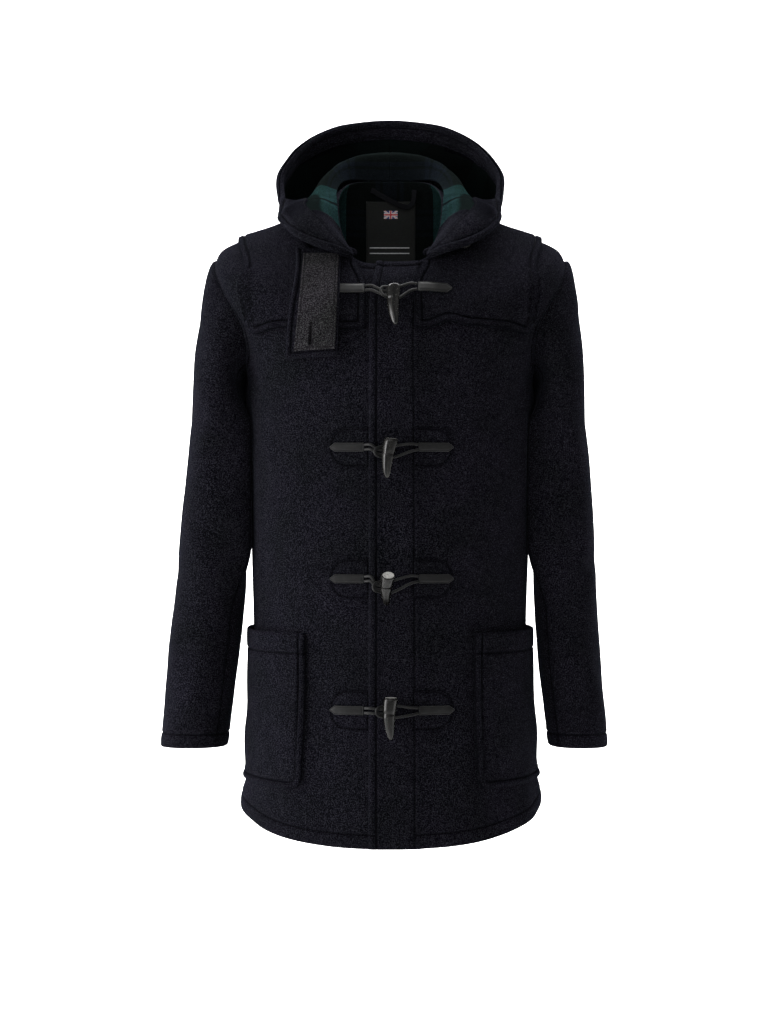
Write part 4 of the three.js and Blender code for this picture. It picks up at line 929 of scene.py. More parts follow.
# ------------------------------------------------------------------ yoke
def yoke():
    n, rows = 230, 60
    u = np.concatenate([np.linspace(0, 0.08, 12, endpoint=False), np.linspace(0.08, 1, n - 12)])[:, None]
    t = np.linspace(0, 1, rows)[None, :]
    r = YOKE(np.maximum(u, 0.08) + 0 * t)
    top = lerp(1.965, 1.86, smooth(0.05, 0.4, np.maximum(u, 0.08)))
    h, th = lerp(r["h"], top, t), lerp(r["th"], r["neck"], t ** 1.15)
    z = lerp(-176.0, -92.0, t)
    th0, h0 = surface_at(31 + 12 * smooth(-122, -92, z), z)
    q = np.clip(u / 0.08, 0, 1)
    th, h = lerp(th0, th, q), lerp(h0, h, q)
    half = []
    for side in (1, -1):
        x = body(th, h)[..., 0]
        rise = np.where(u > 0.5, CLOTH, panel_top(x)) if side > 0 else np.full(x.shape, CLOTH)
        P, N = body_out(side * th, h, rise + YOKE_RISE + 1.8 * smooth(0.5, 0.78, u))
        xs = P[..., 0]
        if side > 0:
            drop = 6.5 - 9.0 * np.exp(-((xs - 76) / 17) ** 2) - 1.5 * np.exp(-((xs - 112) / 14) ** 2)
        else:
            drop = 7.5 - 1.2 * np.exp(-((xs + 150) / 24) ** 2) + 0 * xs
        P[..., 2] -= drop * smooth(-30, -75, P[..., 1]) * smooth(-90, -130, P[..., 2]) * (1 - t) ** 2
        half.append(np.concatenate([P, N, (u + 0 * t)[..., None], (t + 0 * u)[..., None]], -1))
    A = np.concatenate([half[0], half[1][::-1][1:]])
    A = resample(A, 1, WELT, LIPS + [3], CELL)
    A = resample(A, 0, WELT, WELT, CELL)
    P, N = A[..., :3], unit(A[..., 3:6])
    du0, du1, dv0, dv1 = edges_of(A)
    low_edge = to_curve(P, P[::2, 0])
    ends = np.minimum(to_curve(P, P[0, ::2]), to_curve(P, P[-1, ::2]))
    d = np.minimum(low_edge, ends)
    # the free edge lifts a little, most where it waves below the wearer's left shoulder
    x, zz = P[..., 0], P[..., 2]
    free = np.exp(-(low_edge / 34) ** 2)
    frontside = P[..., 1] < -40
    wave = 5.0 * np.exp(-((x - 88) / 32) ** 2) + 2.6 * np.exp(-((x - 150) / 20) ** 2) - 1.0 * np.exp(-((x - 124) / 14) ** 2) + 1.5 * np.exp(-((x + 150) / 26) ** 2) + 0.8 * np.exp(-((x + 60) / 30) ** 2)
    lift = free * (np.where(frontside, np.maximum(wave, 0), 1.2 + 0.9 * np.sin(x / 31.0)) * smooth(0, 1, 1))
    lift = (lift + 0.35 * (1 + wobble(P, 60, 44)) * free) * (1 - 0.9 * smooth(-150, -105, zz))
    high = lift + CLOTH + welt(d, 9.6, 1.9 - 1.6 * smooth(-150, -110, zz), 1.9) + 0.25 * wobble(P, 70, 45)
    # the colour darkens along the stitching (pressed nap and painted shade in the groove) and along the yoke's edge
    # itself, a painted shadow line where it lies over the body
    obj, face = shell("yoke", P, N, lift + 0 * d, high, FABRIC, (1.7, 1.7, 1.7, 1.0), press_and_shade_mask=np.maximum(press_and_shade(d, 9.6, 1.8), 0.95 * np.exp(-(d / 2.2) ** 2)))
    g = "stitches_yoke"
    sew(g, crossing(face, N, low_edge, 9.6, 1, ends > 9.4))
    sew(g, crossing(face, N, ends, 9.6, 0, low_edge > 9.4))
    sew(g, crossing(face, N, ends, 9.6, 0, low_edge > 9.4, last=True))
    cloth(obj, "yoke", "draped", ["front_left", "front_right", "back"], groups=[g])


yoke()


# ------------------------------------------------------------------ hood
def hood_grid(w, v):
    """Points of the hood's lined face: v is 0..1 from the neck seam to the facing's edge, 1..2 on to the rim."""
    r = HOOD(w)
    P, N = body(r["seam"], np.full(w.shape, NECK)), body_normal(r["seam"], np.full(w.shape, NECK))
    seam = P + N * HOOD_GAP
    pts = np.stack([seam] + [np.stack([r[a + c] for c in "xyz"], -1) for a in "cmbor"], axis=1)
    dense = catmull(pts, 30)
    out = np.empty((len(w), len(v), 3))
    for i in range(len(w)):
        line = dense[i]
        _, length = by_length(line, [0])
        width = min(float(FACING_WIDTH(2 - w[i] if w[i] > 1 else w[i])["width"]), length * 0.75)
        s = np.where(v <= 1, v * (length - width), length - width + (v - 1) * width)
        out[i] = by_length(line, np.clip(s / length, 0, 1))[0]
    return out


# folds of the hood: w0 v0 w1 v1 in stations of the grid, half width in mm, depth in mm
HOOD_FOLDS = [
    [0.30, 1.98, 0.34, 1.25, 5.0, -1.6], [0.37, 1.98, 0.39, 1.35, 4.5, 1.3], [0.43, 1.98, 0.44, 1.20, 5.5, -1.5], [0.52, 1.98, 0.50, 1.3, 6.5, 1.0],
    [1.56, 1.98, 1.56, 1.25, 6.0, -1.5], [1.62, 1.98, 1.62, 1.3, 5.0, 1.2], [1.67, 1.98, 1.65, 1.2, 5.0, -1.7], [1.72, 1.98, 1.70, 1.3, 5.0, 1.1],
    [0.80, 0.85, 0.98, 0.80, 16, -3.0], [1.20, 0.85, 1.02, 0.80, 16, -3.0], [0.86, 0.95, 0.99, 1.02, 14, 2.4], [1.14, 0.95, 1.01, 1.02, 14, 2.4],
    [0.70, 0.75, 0.80, 1.0, 12, -2.4], [1.30, 0.75, 1.20, 1.0, 12, 2.2], [0.60, 0.70, 0.66, 1.0, 11, 2.0], [1.40, 0.70, 1.34, 1.0, 11, -2.0],
    [0.76, 0.35, 0.80, 0.6, 10, -1.2], [1.24, 0.35, 1.20, 0.6, 10, -1.2],
]


def hood_relief(P, W, V):
    """Folds given on the grid's own stations, turned into distances in mm."""
    out = np.zeros(P.shape[:2])
    ws, vs = W[:, 0], V[0]
    for n, (w0, v0, w1, v1, width, depth) in enumerate(HOOD_FOLDS):
        t = np.linspace(0, 1, 14)
        iw = np.interp(lerp(w0, w1, t), ws, np.arange(len(ws)))
        jv = np.interp(lerp(v0, v1, t), vs, np.arange(len(vs)))
        a, b = np.clip(iw.astype(int), 0, len(ws) - 2), np.clip(jv.astype(int), 0, len(vs) - 2)
        fa, fb = (iw - a)[:, None], (jv - b)[:, None]
        line = P[a, b] * (1 - fa) * (1 - fb) + P[a + 1, b] * fa * (1 - fb) + P[a, b + 1] * (1 - fa) * fb + P[a + 1, b + 1] * fa * fb
        d = to_curve(P, line)
        out += depth * np.exp(-(d / width) ** 2) * (1 + 0.25 * wobble(P, 40, 130 + n))
    return out


def hood():
    w = np.unique(np.concatenate([np.linspace(0, 0.16, 26), np.linspace(0.16, 1, 150)]))
    v = np.unique(np.concatenate([np.linspace(0, 1, 90), np.linspace(1, 2, 24)]))
    whole = np.concatenate([w, (2 - w)[::-1][1:]])
    P = hood_grid(whole, v)
    n = unit(np.cross(np.gradient(P, axis=0), np.gradient(P, axis=1)))
    W, V = np.broadcast_to(whole[:, None], P.shape[:2]), np.broadcast_to(v[None, :], P.shape[:2])
    fold = hood_relief(P, W, V) + 0.55 * wobble(P, 70, 61) + 0.3 * wobble(P, 34, 62)
    fold = fold * smooth(0.0, 0.12, W) * smooth(0.0, 0.12, 2 - W) * smooth(0, 0.25, V)
    edge = np.linalg.norm(P[:, :1] - P, axis=-1)
    P = P + n * fold[..., None]
    n = unit(np.cross(np.gradient(P, axis=0), np.gradient(P, axis=1)))
    A = np.concatenate([P, n, W[..., None], V[..., None]], -1)
    mid = len(w) - 1
    for name, part, side in (("hood_left", A[:mid + 1].copy(), 1), ("hood_right", A[mid:].copy(), -1)):
        seam_line = -1 if side > 0 else 0
        part[seam_line, :, 0] = -side * 0.3
        B = resample(part, 1, LIPS + [2.5, 5], WELT, 4.0)
        ends, centre = LIPS + [2.5, 5], LIPS + [2.2, 4, 6, 7, 7.8, 8.6, 10, 13]
        B = resample(B, 0, ends if side > 0 else centre, centre if side > 0 else ends, 4.0)
        Q, N = B[..., :3], unit(B[..., 3:6])
        du0, du1, dv0, dv1 = edges_of(B)
        dc = du1 if side > 0 else du0
        de = du0 if side > 0 else du1
        rim = np.minimum(dv1, de)
        high = CLOTH + welt(rim, 9.6, 2.6, 1.9) - 0.9 * np.exp(-((dc - 7.4) / 1.1) ** 2) + 0.35 * np.exp(-((dc - 3.5) / 3) ** 2)
        near = np.minimum(B[..., 6], 2 - B[..., 6])
        edge = 0.262
        layer = (1 - smooth(0, 0.010, near - edge)) * (1 - smooth(0.96, 1.0, B[..., 7]))
        bead = np.exp(-((near - edge) / 0.008) ** 2) * (1 - smooth(0.96, 1.0, B[..., 7]))
        low = -0.2 * np.exp(-((dc - 3.5) / 3) ** 2) - 1.3 * layer - 0.7 * bead
        under = np.where((near < edge + 0.008) | (B[..., 7] > 0.985), 0, 1)
        M = along(Q.transpose(1, 0, 2)).T
        uv = np.stack([(near - 0.45) * 260 + 108, 0.9 * M + 195], -1)
        # painted shade: the inner face darkens towards black deep in the crown, where little light reaches; the outer
        # face darkens along the stitching, pressed nap with painted shade in the grooves
        deep = smooth(0.56, 0.70, B[..., 7]) * smooth(0.20, 0.27, near)
        obj, face = shell(name, Q, N, low, high, FABRIC, (1.2, 1.2, 1.0, 2.2), uv=uv, press_and_shade_mask=np.maximum(press_and_shade(rim, 9.6), press_and_shade(dc, 7.4)), under_mat=under, deep=deep)
        g = f"stitches_{name}"
        sew(g, crossing(face, N, dv1, 9.6, 1, last=True))
        sew(g, crossing(face, N, dc, 7.4, 0, last=side > 0))
        cloth(obj, name, "draped", ["yoke"], groups=[g])
    F = A[:, v >= 1]
    F = resample(F, 1, LIPS + [2, 3, 4, 5], LIPS + [1.8, 3.2, 5.0, 6.8, 8.2, 9.0, 9.6, 10.2, 11.0, 12.5], 4.0)
    F = resample(F, 0, LIPS + [3], LIPS + [3], 4.0)
    Q, N = F[..., :3], unit(F[..., 3:6])
    du0, du1, dv0, dv1 = edges_of(F)
    puff = 0.35 * np.sin(np.pi * np.clip(dv0 / 4, 0, 1)) - 0.25 * np.exp(-((dv0 - 4) / 0.8) ** 2)
    roll = 3.2 * np.sin(np.pi * np.clip(dv1 / 9.6, 0, 1)) ** 0.7 - 0.9 * np.exp(-((dv1 - 9.6) / 1.2) ** 2)
    puff = puff + roll * np.clip((dv0 - 2) / 6, 0, 1)
    fnear = np.minimum(F[..., 6], 2 - F[..., 6])
    # painted shadow: the facing's inner part at the sides, away from the rim, is darkened where it lies in the hood's
    # shade; its stitch lines darken as pressed nap with painted shade
    facing_painted_shadow = smooth(13, 19, dv1) * smooth(0.23, 0.30, fnear) * (1 - smooth(0.46, 0.56, fnear))
    obj, face = shell("hood_facing", Q, -N, 0.5 + 0 * puff, 2.5 + puff, [NAVY, NAVY], (1.0, 1.0, 1.0, 1.6), press_and_shade_mask=np.maximum(np.maximum(press_and_shade(dv1, 9.6), 0.7 * press_and_shade(dv0, 4)), facing_painted_shadow))
    sew("stitches_hood_facing", crossing(face, -N, dv0, 4, 1))
    sew("stitches_hood_facing", crossing(face, -N, dv1, 9.6, 1, last=True))
    cloth(obj, "hood_facing", "stretched", ["hood_left", "hood_right"], groups=["stitches_hood_facing"])


hood()


# ------------------------------------------------------------------ pieces laid on the front
def front_grid(X, Z, back=False):
    P, N = on_front(X, Z, np.zeros(np.broadcast(X, Z).shape), back)
    return P, N


def throat_tab():
    base = CLOTH + YOKE_RISE + CLOTH
    v = np.linspace(0, 1, 90)[None, :]
    u = np.linspace(0, 1, 36)[:, None]

    def grid(inset):
        z = lerp(-78.0 - inset, -217.0 + 0.75 * inset - 1.6 * (inset < 1), v)
        left, right = lerp(-122.0, -127.0, v) + inset - 1.4 * (inset < 1) + 1.6 * np.sin(2.2 * math.pi * v) * (inset < 1), lerp(-64.0, -66.0, v) - 0.3 * inset
        X = lerp(left, right, u)
        P, N = front_grid(X, z + 0 * u)
        return np.concatenate([P, N], -1)
    lift = lambda A, d: 1.8 * np.exp(-((A[..., 2] + 216) / 30) ** 2)
    rows = LIPS + [1.8, 3.2, 4.6, 5.6, 6.4, 7.2, 8.0, 9.0]
    A = resample(resample(grid(0), 1, LIPS + [2.2, 3.5], rows, 3.0), 0, rows, LIPS + [2.2, 3.5], 3.0)
    P, N = A[..., :3], unit(A[..., 3:6])
    du0, du1, dv0, dv1 = edges_of(A)
    up = lift(A, 0) + 0.7 * np.sin(P[..., 0] / 7.5) * np.exp(-(dv1 / 9) ** 2) + 0.5 * np.sin(P[..., 2] / 13.0) * np.exp(-(du0 / 7) ** 2)
    d = np.minimum(du0, dv1)
    roll = 2.4 * np.sin(np.pi * np.clip(d / 6.4, 0, 1)) ** 0.7 - 1.0 * np.exp(-((d - 6.4) / 0.9) ** 2)
    # the colour darkens along the stitching: pressed nap with painted shade in the groove
    obj, face = shell("throat_tab_wool", P, N, base + 4.3 + up, base + 4.3 + CLOTH + up + roll * (d < 8.6), [NAVY, NAVY], (1.8, 1.5, 1.0, 1.8), press_and_shade_mask=0.75 * press_and_shade(d, 6.4, 0.9))
    sew("stitches_throat_tab_wool", crossing(face, N, du0, 6.4, 0, dv1 > 6.4), pitch=3.3, length=2.2, radius=0.28)
    sew("stitches_throat_tab_wool", crossing(face, N, dv1, 6.4, 1, du0 > 6.4, last=True), pitch=3.3, length=2.2, radius=0.28)
    cloth(obj, "throat_tab_wool", "hung", ["hood_left", "yoke"], groups=["stitches_throat_tab_wool"])
    B = resample(resample(grid(9.0), 1, LIPS + [2, 3.2, 4.2, 5.2], LIPS + [2, 3.2, 4.2, 5.2], 1.5), 0, LIPS + [2, 3.2, 4.2, 5.2], LIPS + [2, 3.2, 4.2, 5.2], 1.5)
    P, N = B[..., :3], unit(B[..., 3:6])
    du0, du1, dv0, dv1 = edges_of(B)
    d = np.minimum(np.minimum(du0, du1), dv1)
    up = lift(B, 0) + 0.5 * wobble(P, 40, 77)
    x, z = P[..., 0], P[..., 2]
    hole_x, hole_z, hole_half = -98.5, -190.0, 12.5
    along_hole = np.abs(z - hole_z) - hole_half
    dx = np.abs(x - hole_x)
    reach = np.hypot(dx, np.maximum(along_hole, 0))
    slit = 1.75 * np.exp(-(reach / 1.5) ** 2)
    ridge = 0.8 * np.exp(-((reach - 3.1) / 1.1) ** 2)
    high = base + 4.8 + CLOTH + 1.7 + up - 0.35 * np.exp(-((d - 3.2) / 0.8) ** 2) + 0.25 * np.exp(-((d - 1.6) / 1.0) ** 2) - slit + ridge
    # the colour darkens along the edge stitching (pressed nap and painted shade) and most in the buttonhole's slit,
    # which is painted shade
    obj, face = shell("throat_tab_felt", P, N, base + 4.8 + CLOTH + up, high, [EDGE_FELT, EDGE_FELT], (1.2, 1.2, 0.9, 1.2), press_and_shade_mask=np.maximum(0.5 * press_and_shade(d, 3.2, 0.9), 1.6 * np.exp(-(reach / 1.3) ** 2)))
    g = "stitches_throat_tab"
    sew(g, crossing(face, N, du0, 3.2, 0), pitch=3.3, length=2.2, radius=0.28)
    sew(g, crossing(face, N, du1, 3.2, 0, last=True), pitch=3.3, length=2.2, radius=0.28)
    sew(g, crossing(face, N, dv1, 3.2, 1, last=True), pitch=3.3, length=2.2, radius=0.28)
    # the buttonhole's close stitches lie across its lips
    q = np.linspace(-hole_half - 1, hole_half + 1, 34)
    for s in (-1, 1):
        for zz in q:
            a = np.array([hole_x + s * 0.9, hole_x + s * 3.4])
            Pa, Na = on_front(a, np.array([hole_z + zz] * 2), base + 4.8 + CLOTH + 2.15 + 1.8 * np.exp(-((hole_z + zz + 216) / 30) ** 2) + np.zeros(2))
            Pa = Pa + Na * (0.5 * wobble(Pa, 40, 77))[:, None]
            line = np.linspace(0, 1, 4)[:, None]
            sew(g, (lerp(Pa[0], Pa[1], line), lerp(Na[0], Na[1], line)), pitch=2.5, length=2.5, radius=0.36, lift=0.0)
    cloth(obj, "throat_tab_felt", "laid", ["throat_tab_wool"], slot="felt", groups=[g])


throat_tab()


def pocket(name, side):
    u, v = np.linspace(0, 1, 120)[:, None], np.linspace(0, 1, 110)[None, :]
    th = lerp(POCKET_FROM, POCKET_TO, u) + 0 * v
    corner = np.where(u < 0.08, 14 * (1 - np.sqrt(np.clip(1 - (1 - np.minimum(u, 0.08) / 0.08) ** 2, 0, 1))), 0)
    z = lerp(POCKET_BOTTOM + corner, POCKET_TOP, v)
    h = level_at_z(th, z)
    sag = POCKET_SAG * np.sin(np.pi * np.clip(u, 0, 1)) ** 0.6 * smooth(0, 0.35, v) * (1 - 0.15 * v)
    P, N = body_out(side * th, h, CLOTH + 1.0 + sag)
    A = np.concatenate([P, N, (u + 0 * v)[..., None], (v + 0 * u)[..., None]], -1)
    TOP = LIPS + [2, 4, 8, 13, 18, 22, 24.5, 25.7, 26.5, 27.3, 28.5, 31]
    A = resample(resample(A, 1, WELT, TOP, 3.6), 0, WELT, WELT, 3.6)
    P, N = A[..., :3], unit(A[..., 3:6])
    du0, du1, dv0, dv1 = edges_of(A)
    low = np.minimum(to_curve(P, P[::2, 0]), to_curve(P, P[0, ::2]))
    low2 = np.minimum(low, to_curve(P, P[-1, ::2]))
    fade = smooth(0, 1, 1)
    far = 1 - 0.75 * smooth(0.72, 0.92, A[..., 6])
    high = CLOTH + welt(low2, 9.0, 2.2, 1.6) * far + 0.8 * np.sin(np.pi * np.clip(dv1 / 26.5, 0, 1)) ** 0.6 - 1.5 * np.exp(-((dv1 - 26.5) / 1.2) ** 2) + 0.4 * wobble(P, 55, 83 + side)
    turned = np.minimum(np.minimum(du0, du1), np.minimum(dv0, dv1)) < 14
    # the colour darkens along the stitching (pressed nap and painted shade) and along the pocket's edges, a painted
    # shadow line
    obj, face = shell(name, P, N, 0 * high, high, FABRIC, (2.2, 2.0, 2.2, 1.8), under_mat=np.where(turned, 0, 1), press_and_shade_mask=np.maximum(np.maximum(press_and_shade(low2, 9.0, 1.3), press_and_shade(dv1, 26.5, 1.2)), 0.8 * np.exp(-(low2 / 1.4) ** 2)))
    g = f"stitches_{name}"
    sew(g, crossing(face, N, low2, 9.0, 1, (du0 > 8) & (du1 > 8)))
    sew(g, crossing(face, N, low2, 9.0, 0, dv0 > 12))
    sew(g, crossing(face, N, low2, 9.0, 0, dv0 > 12, last=True))
    sew(g, crossing(face, N, dv1, 26.5, 1, (du0 > 2) & (du1 > 2), last=True))
    cloth(obj, name, "hung", ["front_left" if side > 0 else "front_right"], groups=[g])


pocket("pocket_left", 1)
pocket("pocket_right", -1)


# ------------------------------------------------------------------ label and hanger loop
def inside_back():
    u, v = np.linspace(0, 1, 40)[:, None], np.linspace(0, 1, 46)[None, :]
    X, Z = lerp(-34.0, 36.0, u) + 0 * v, lerp(-68.0, 17.0, v) + 0 * u
    P, N = front_grid(X, Z, back=True)
    A = np.concatenate([P, N], -1)
    A = resample(resample(A, 1, LIPS, LIPS, 2.5), 0, LIPS, LIPS, 2.5)
    P, N = A[..., :3], unit(A[..., 3:6])
    slack = 0.35 * (1 + wobble(P, 40, 91))
    obj, face = shell("label", P, N, -2.8 - slack, -1.8 - slack, [SATIN, SATIN], (0.5, 0.5, 0.5, 0.5))
    face = P - N * (2.8 + slack)[..., None]
    g = "stitches_label"
    du0, du1, dv0, dv1 = edges_of(A)
    for d, axis, last in ((du0, 0, False), (du1, 0, True), (dv1, 1, True), (dv0, 1, False)):
        sew(g, crossing(face, -N, d, 1.6, axis, last=last), pitch=2.6, length=1.8, radius=0.2, lift=0.05)
    cloth(obj, "label", "laid", ["back"], slot="satin", groups=[g])

    # woven marks: two fine rules and a small flag, raised a thread's depth
    def mark(name, corners, colour, rise):
        c = np.array(corners, float)
        k = len(c)
        pts, nrm = on_front(c[:, 0], c[:, 1], np.zeros(k), True)
        slack = 0.35 * (1 + wobble(pts, 40, 91))
        under, over = pts - nrm * (2.84 + slack)[:, None], pts - nrm * (2.84 + rise + slack)[:, None]
        faces = [list(range(k)), [k + q for q in range(k)][::-1]] + [[q, k + q, k + (q + 1) % k, (q + 1) % k] for q in range(k)]
        return np.concatenate([under, over]), faces, colour
    marks = []

    def rect(x0, x1, z0, z1, colour, rise, cells=6):
        for q in range(cells):
            a, b = lerp(x0, x1, q / cells), lerp(x0, x1, (q + 1) / cells)
            marks.append(mark("", [(a, z0), (b, z0), (b, z1), (a, z1)], colour, rise))
    rect(-29, 27.5, -46.3, -44.9, "grey", 0.12, 12)
    rect(-29, 27.5, -54.0, -52.6, "grey", 0.12, 12)
    fx, fz, fw, fh = 1.0, -0.5, 9.6, 5.4
    rect(fx - fw, fx + fw, fz - fh, fz + fh, "blue", 0.10, 4)
    for s in (1, -1):
        for t in (1, -1):
            marks.append(mark("", [(fx + s * fw, fz + t * fh), (fx + s * (fw - 2.6), fz + t * fh), (fx, fz + t * 0.2), (fx + s * 1.0, fz), (fx + s * fw, fz + t * (fh - 1.5))], "white", 0.15))
            marks.append(mark("", [(fx + s * fw, fz + t * fh), (fx + s * (fw - 1.2), fz + t * fh), (fx, fz), (fx + s * 0.8, fz)], "red", 0.19))
    rect(fx - 1.9, fx + 1.9, fz - fh, fz + fh, "white", 0.23, 1)
    rect(fx - fw, fx + fw, fz - 1.9, fz + 1.9, "white", 0.23, 4)
    rect(fx - 1.1, fx + 1.1, fz - fh, fz + fh, "red", 0.27, 1)
    rect(fx - fw, fx + fw, fz - 1.1, fz + 1.1, "red", 0.27, 4)
    verts, faces, which, keys = [], [], [], list(YARN)
    for V, F, colour in marks:
        base = sum(len(q) for q in verts)
        verts.append(V)
        faces += [[base + q for q in f] for f in F]
        which += [keys.index(colour)] * len(F)
    V = np.concatenate(verts)
    obj = new_mesh("label_marks", V, faces, V[:, [0, 2]], [YARN[k] for k in keys], which, flat=True)
    place(obj)

    # hanger loop
    path = np.array([[-27, 33], [-12, 25.5], [4, 17.5], [18, 11.5], [27, 11], [33, 17], [35, 33]], float)
    line = catmull(np.stack([path[:, 0], 0 * path[:, 0], path[:, 1]], -1)[None], 30)[0]
    pts, _ = by_length(line, np.linspace(0, 1, 90))
    tan = unit(np.gradient(pts, axis=0))
    uu = np.linspace(-0.5, 0.5, 9)[:, None]
    X, Z = pts[None, :, 0] + uu * 7 * -tan[None, :, 2], pts[None, :, 2] + uu * 7 * tan[None, :, 0]
    P, N = front_grid(X, Z, back=True)
    A = np.concatenate([P, N, np.broadcast_to(np.linspace(0, 1, 90)[None, :, None], P.shape[:2] + (1,))], -1)
    A = resample(resample(A, 0, [0, 0.12, 0.4, 0.8], [0, 0.12, 0.4, 0.8], 1.0), 1, LIPS, LIPS, 1.6)
    P, N = A[..., :3], unit(A[..., 3:6])
    away = 5.5 * np.sin(np.pi * A[..., 6])
    obj, face = shell("hanger_loop", P, N, -4.8 - away, -3.4 - away, [TAPE, TAPE], (0.7, 0.7, 0.7, 0.7))
    cloth(obj, "hanger_loop", "hung", ["back"], slot="tape")


inside_back()


# ------------------------------------------------------------------ fastenings
def flat_piece(name, side, start, to, z0, half, low, high, mats, cell, lip, profile=None, lines=LIPS, press_and_shade_mask=None):
    """A flat piece on the front, from the centre outwards: its half height is given along x."""
    a = start + (to - start) * np.concatenate([np.linspace(0, 0.6, 60, endpoint=False), 1 - 0.4 * np.linspace(1, 0, 90) ** 1.8])
    a = a[:, None]
    v = np.linspace(-1, 1, 60)[None, :]
    X, Z = side * a + 0 * v, z0 + v * half(a)
    P, N = front_grid(X, Z)
    A = np.concatenate([P, N, X[..., None], Z[..., None]], -1)
    A = resample(resample(A, 1, lines, lines, cell), 0, lines, lines, cell)
    P, N = A[..., :3], unit(A[..., 3:6])
    x = A[..., 6]
    extra = profile(A) if profile else 0
    obj, face = shell(name, P, N, low(x), high(x) + extra, mats, lip, press_and_shade_mask=press_and_shade_mask(A) if press_and_shade_mask else None)
    return obj, face, N, A


def outline_distance(P):
    rim = np.concatenate([P[:, 0], P[-1, :], P[::-1, -1]])
    return to_curve(P, rim[::2])


def tube(name, points, wide, deep, sides, steps, mat, node_name, flat_inside=0.0):
    line = catmull(np.array(points)[None], 30)[0]
    pts, length = by_length(line, np.linspace(0, 1, steps + 1))
    tan = unit(np.gradient(pts, axis=0))
    hint = np.array([0, -1.0, 0])
    n = unit(hint - tan * (tan @ hint)[:, None])
    b = np.cross(tan, n)
    a = (np.arange(sides) + 0.5) * 2 * math.pi / sides
    cs, sn = np.sign(np.cos(a)) * np.abs(np.cos(a)) ** 0.8, np.sign(np.sin(a)) * np.abs(np.sin(a)) ** 0.9
    V = pts[:, None] + n[:, None] * (deep * sn)[None, :, None] + b[:, None] * (wide * cs)[None, :, None]
    i = np.arange(steps)[:, None] * sides
    k = np.arange(sides)[None, :]
    q = np.stack([i + k, i + (k + 1) % sides, i + (k + 1) % sides + sides, i + k + sides], -1).reshape(-1, 4)
    faces = [list(f) for f in q] + [list(range(sides))[::-1], [steps * sides + s for s in range(sides)]]
    s = np.linspace(0, length, steps + 1)
    uv = np.stack([np.broadcast_to(a[None, :] * wide, V.shape[:2]), np.broadcast_to(s[:, None], V.shape[:2])], -1)
    obj = new_mesh(name, V.reshape(-1, 3), faces, uv.reshape(-1, 2), [mat])
    place(obj, [node_name])
    return obj


def toggle(n, hang):
    top, _ = on_front(np.array([hang["top"][0]]), np.array([hang["top"][1]]), hang["off"][0])
    tip, _ = on_front(np.array([hang["tip"][0]]), np.array([hang["tip"][1]]), hang["off"][1])
    top, tip = top[0], tip[0]
    length = np.linalg.norm(tip - top)
    axis = (tip - top) / length
    out = np.array([0, -1.0, 0])
    out = unit(out + axis * axis[1])
    across = np.cross(axis, out)
    sides = 40
    s = np.array([0, 0.25, 0.8, 1.6, 3, 5, 7.5, 10, 12.5, 15, 17, 18.2, 19.4, 20.6, 22, 24, 26, 29, 32, 35, 38, 41, 44, 46.5, 48.5, 50, 51, 51.6, 52])
    r = TOGGLE(s)["r"]
    r = r - np.array([1.0, 0.45, 0.12] + [0] * (len(s) - 3))
    r = r - 0.6 * np.exp(-((s - 19.4) / 1.9) ** 2)          # the groove where the cord goes through
    r[-3:] = [2.3, 1.6, 0.7]
    a = np.arange(sides) * 2 * math.pi / sides
    ridge = 1 + 0.022 * np.sin(5 * a + n) + 0.015 * np.sin(9 * a + 2.1 * n) + 0.01 * np.sin(17 * a + n)
    at = s / 52
    bend = 2.0 * np.sin(math.pi * at)
    V = (top + axis[None] * (length * at)[:, None])[:, None] + across * ((r[:, None] * np.cos(a) * ridge) + bend[:, None])[..., None] + out * (r[:, None] * 0.92 * np.sin(a) * ridge)[..., None]
    rings = len(s)
    i, k = np.arange(rings - 1)[:, None] * sides, np.arange(sides)[None, :]
    q = np.stack([i + k, i + (k + 1) % sides, i + (k + 1) % sides + sides, i + k + sides], -1).reshape(-1, 4)
    verts = list(V.reshape(-1, 3))
    # the sawn top: rings in to a slightly dished middle
    faces, which = [list(f) for f in q], [0] * len(q)
    inner = []
    for f, dish in ((0.8, 0.1), (0.45, 0.35)):
        base = len(verts)
        ring = top + axis * dish + across * (r[0] * f * np.cos(a) * ridge)[:, None] + out * (r[0] * f * 0.92 * np.sin(a) * ridge)[:, None]
        verts += list(ring)
        inner.append(base)
    prev = 0
    for base in inner:
        faces += [[prev + j, base + j, base + (j + 1) % sides, prev + (j + 1) % sides] for j in range(sides)]
        which += [1] * sides
        prev = base
    verts.append(top + axis * 0.4)
    faces += [[prev + j, len(verts) - 1, prev + (j + 1) % sides] for j in range(sides)]
    which += [1] * sides
    verts.append(tip + axis * 0.15)
    e = (rings - 1) * sides
    faces += [[e + j, e + (j + 1) % sides, len(verts) - 1] for j in range(sides)]
    which += [0] * sides
    uv = np.zeros((len(verts), 2))
    uv[:rings * sides, 0] = np.broadcast_to((a * 8)[None], (rings, sides)).reshape(-1) + 100 * n
    uv[:rings * sides, 1] = np.broadcast_to(s[:, None], (rings, sides)).reshape(-1)
    obj = new_mesh(f"toggle_{n}", np.array(verts), faces, uv, [HORN, HORN_CUT], which)
    place(obj, [f"toggle_{n}"])


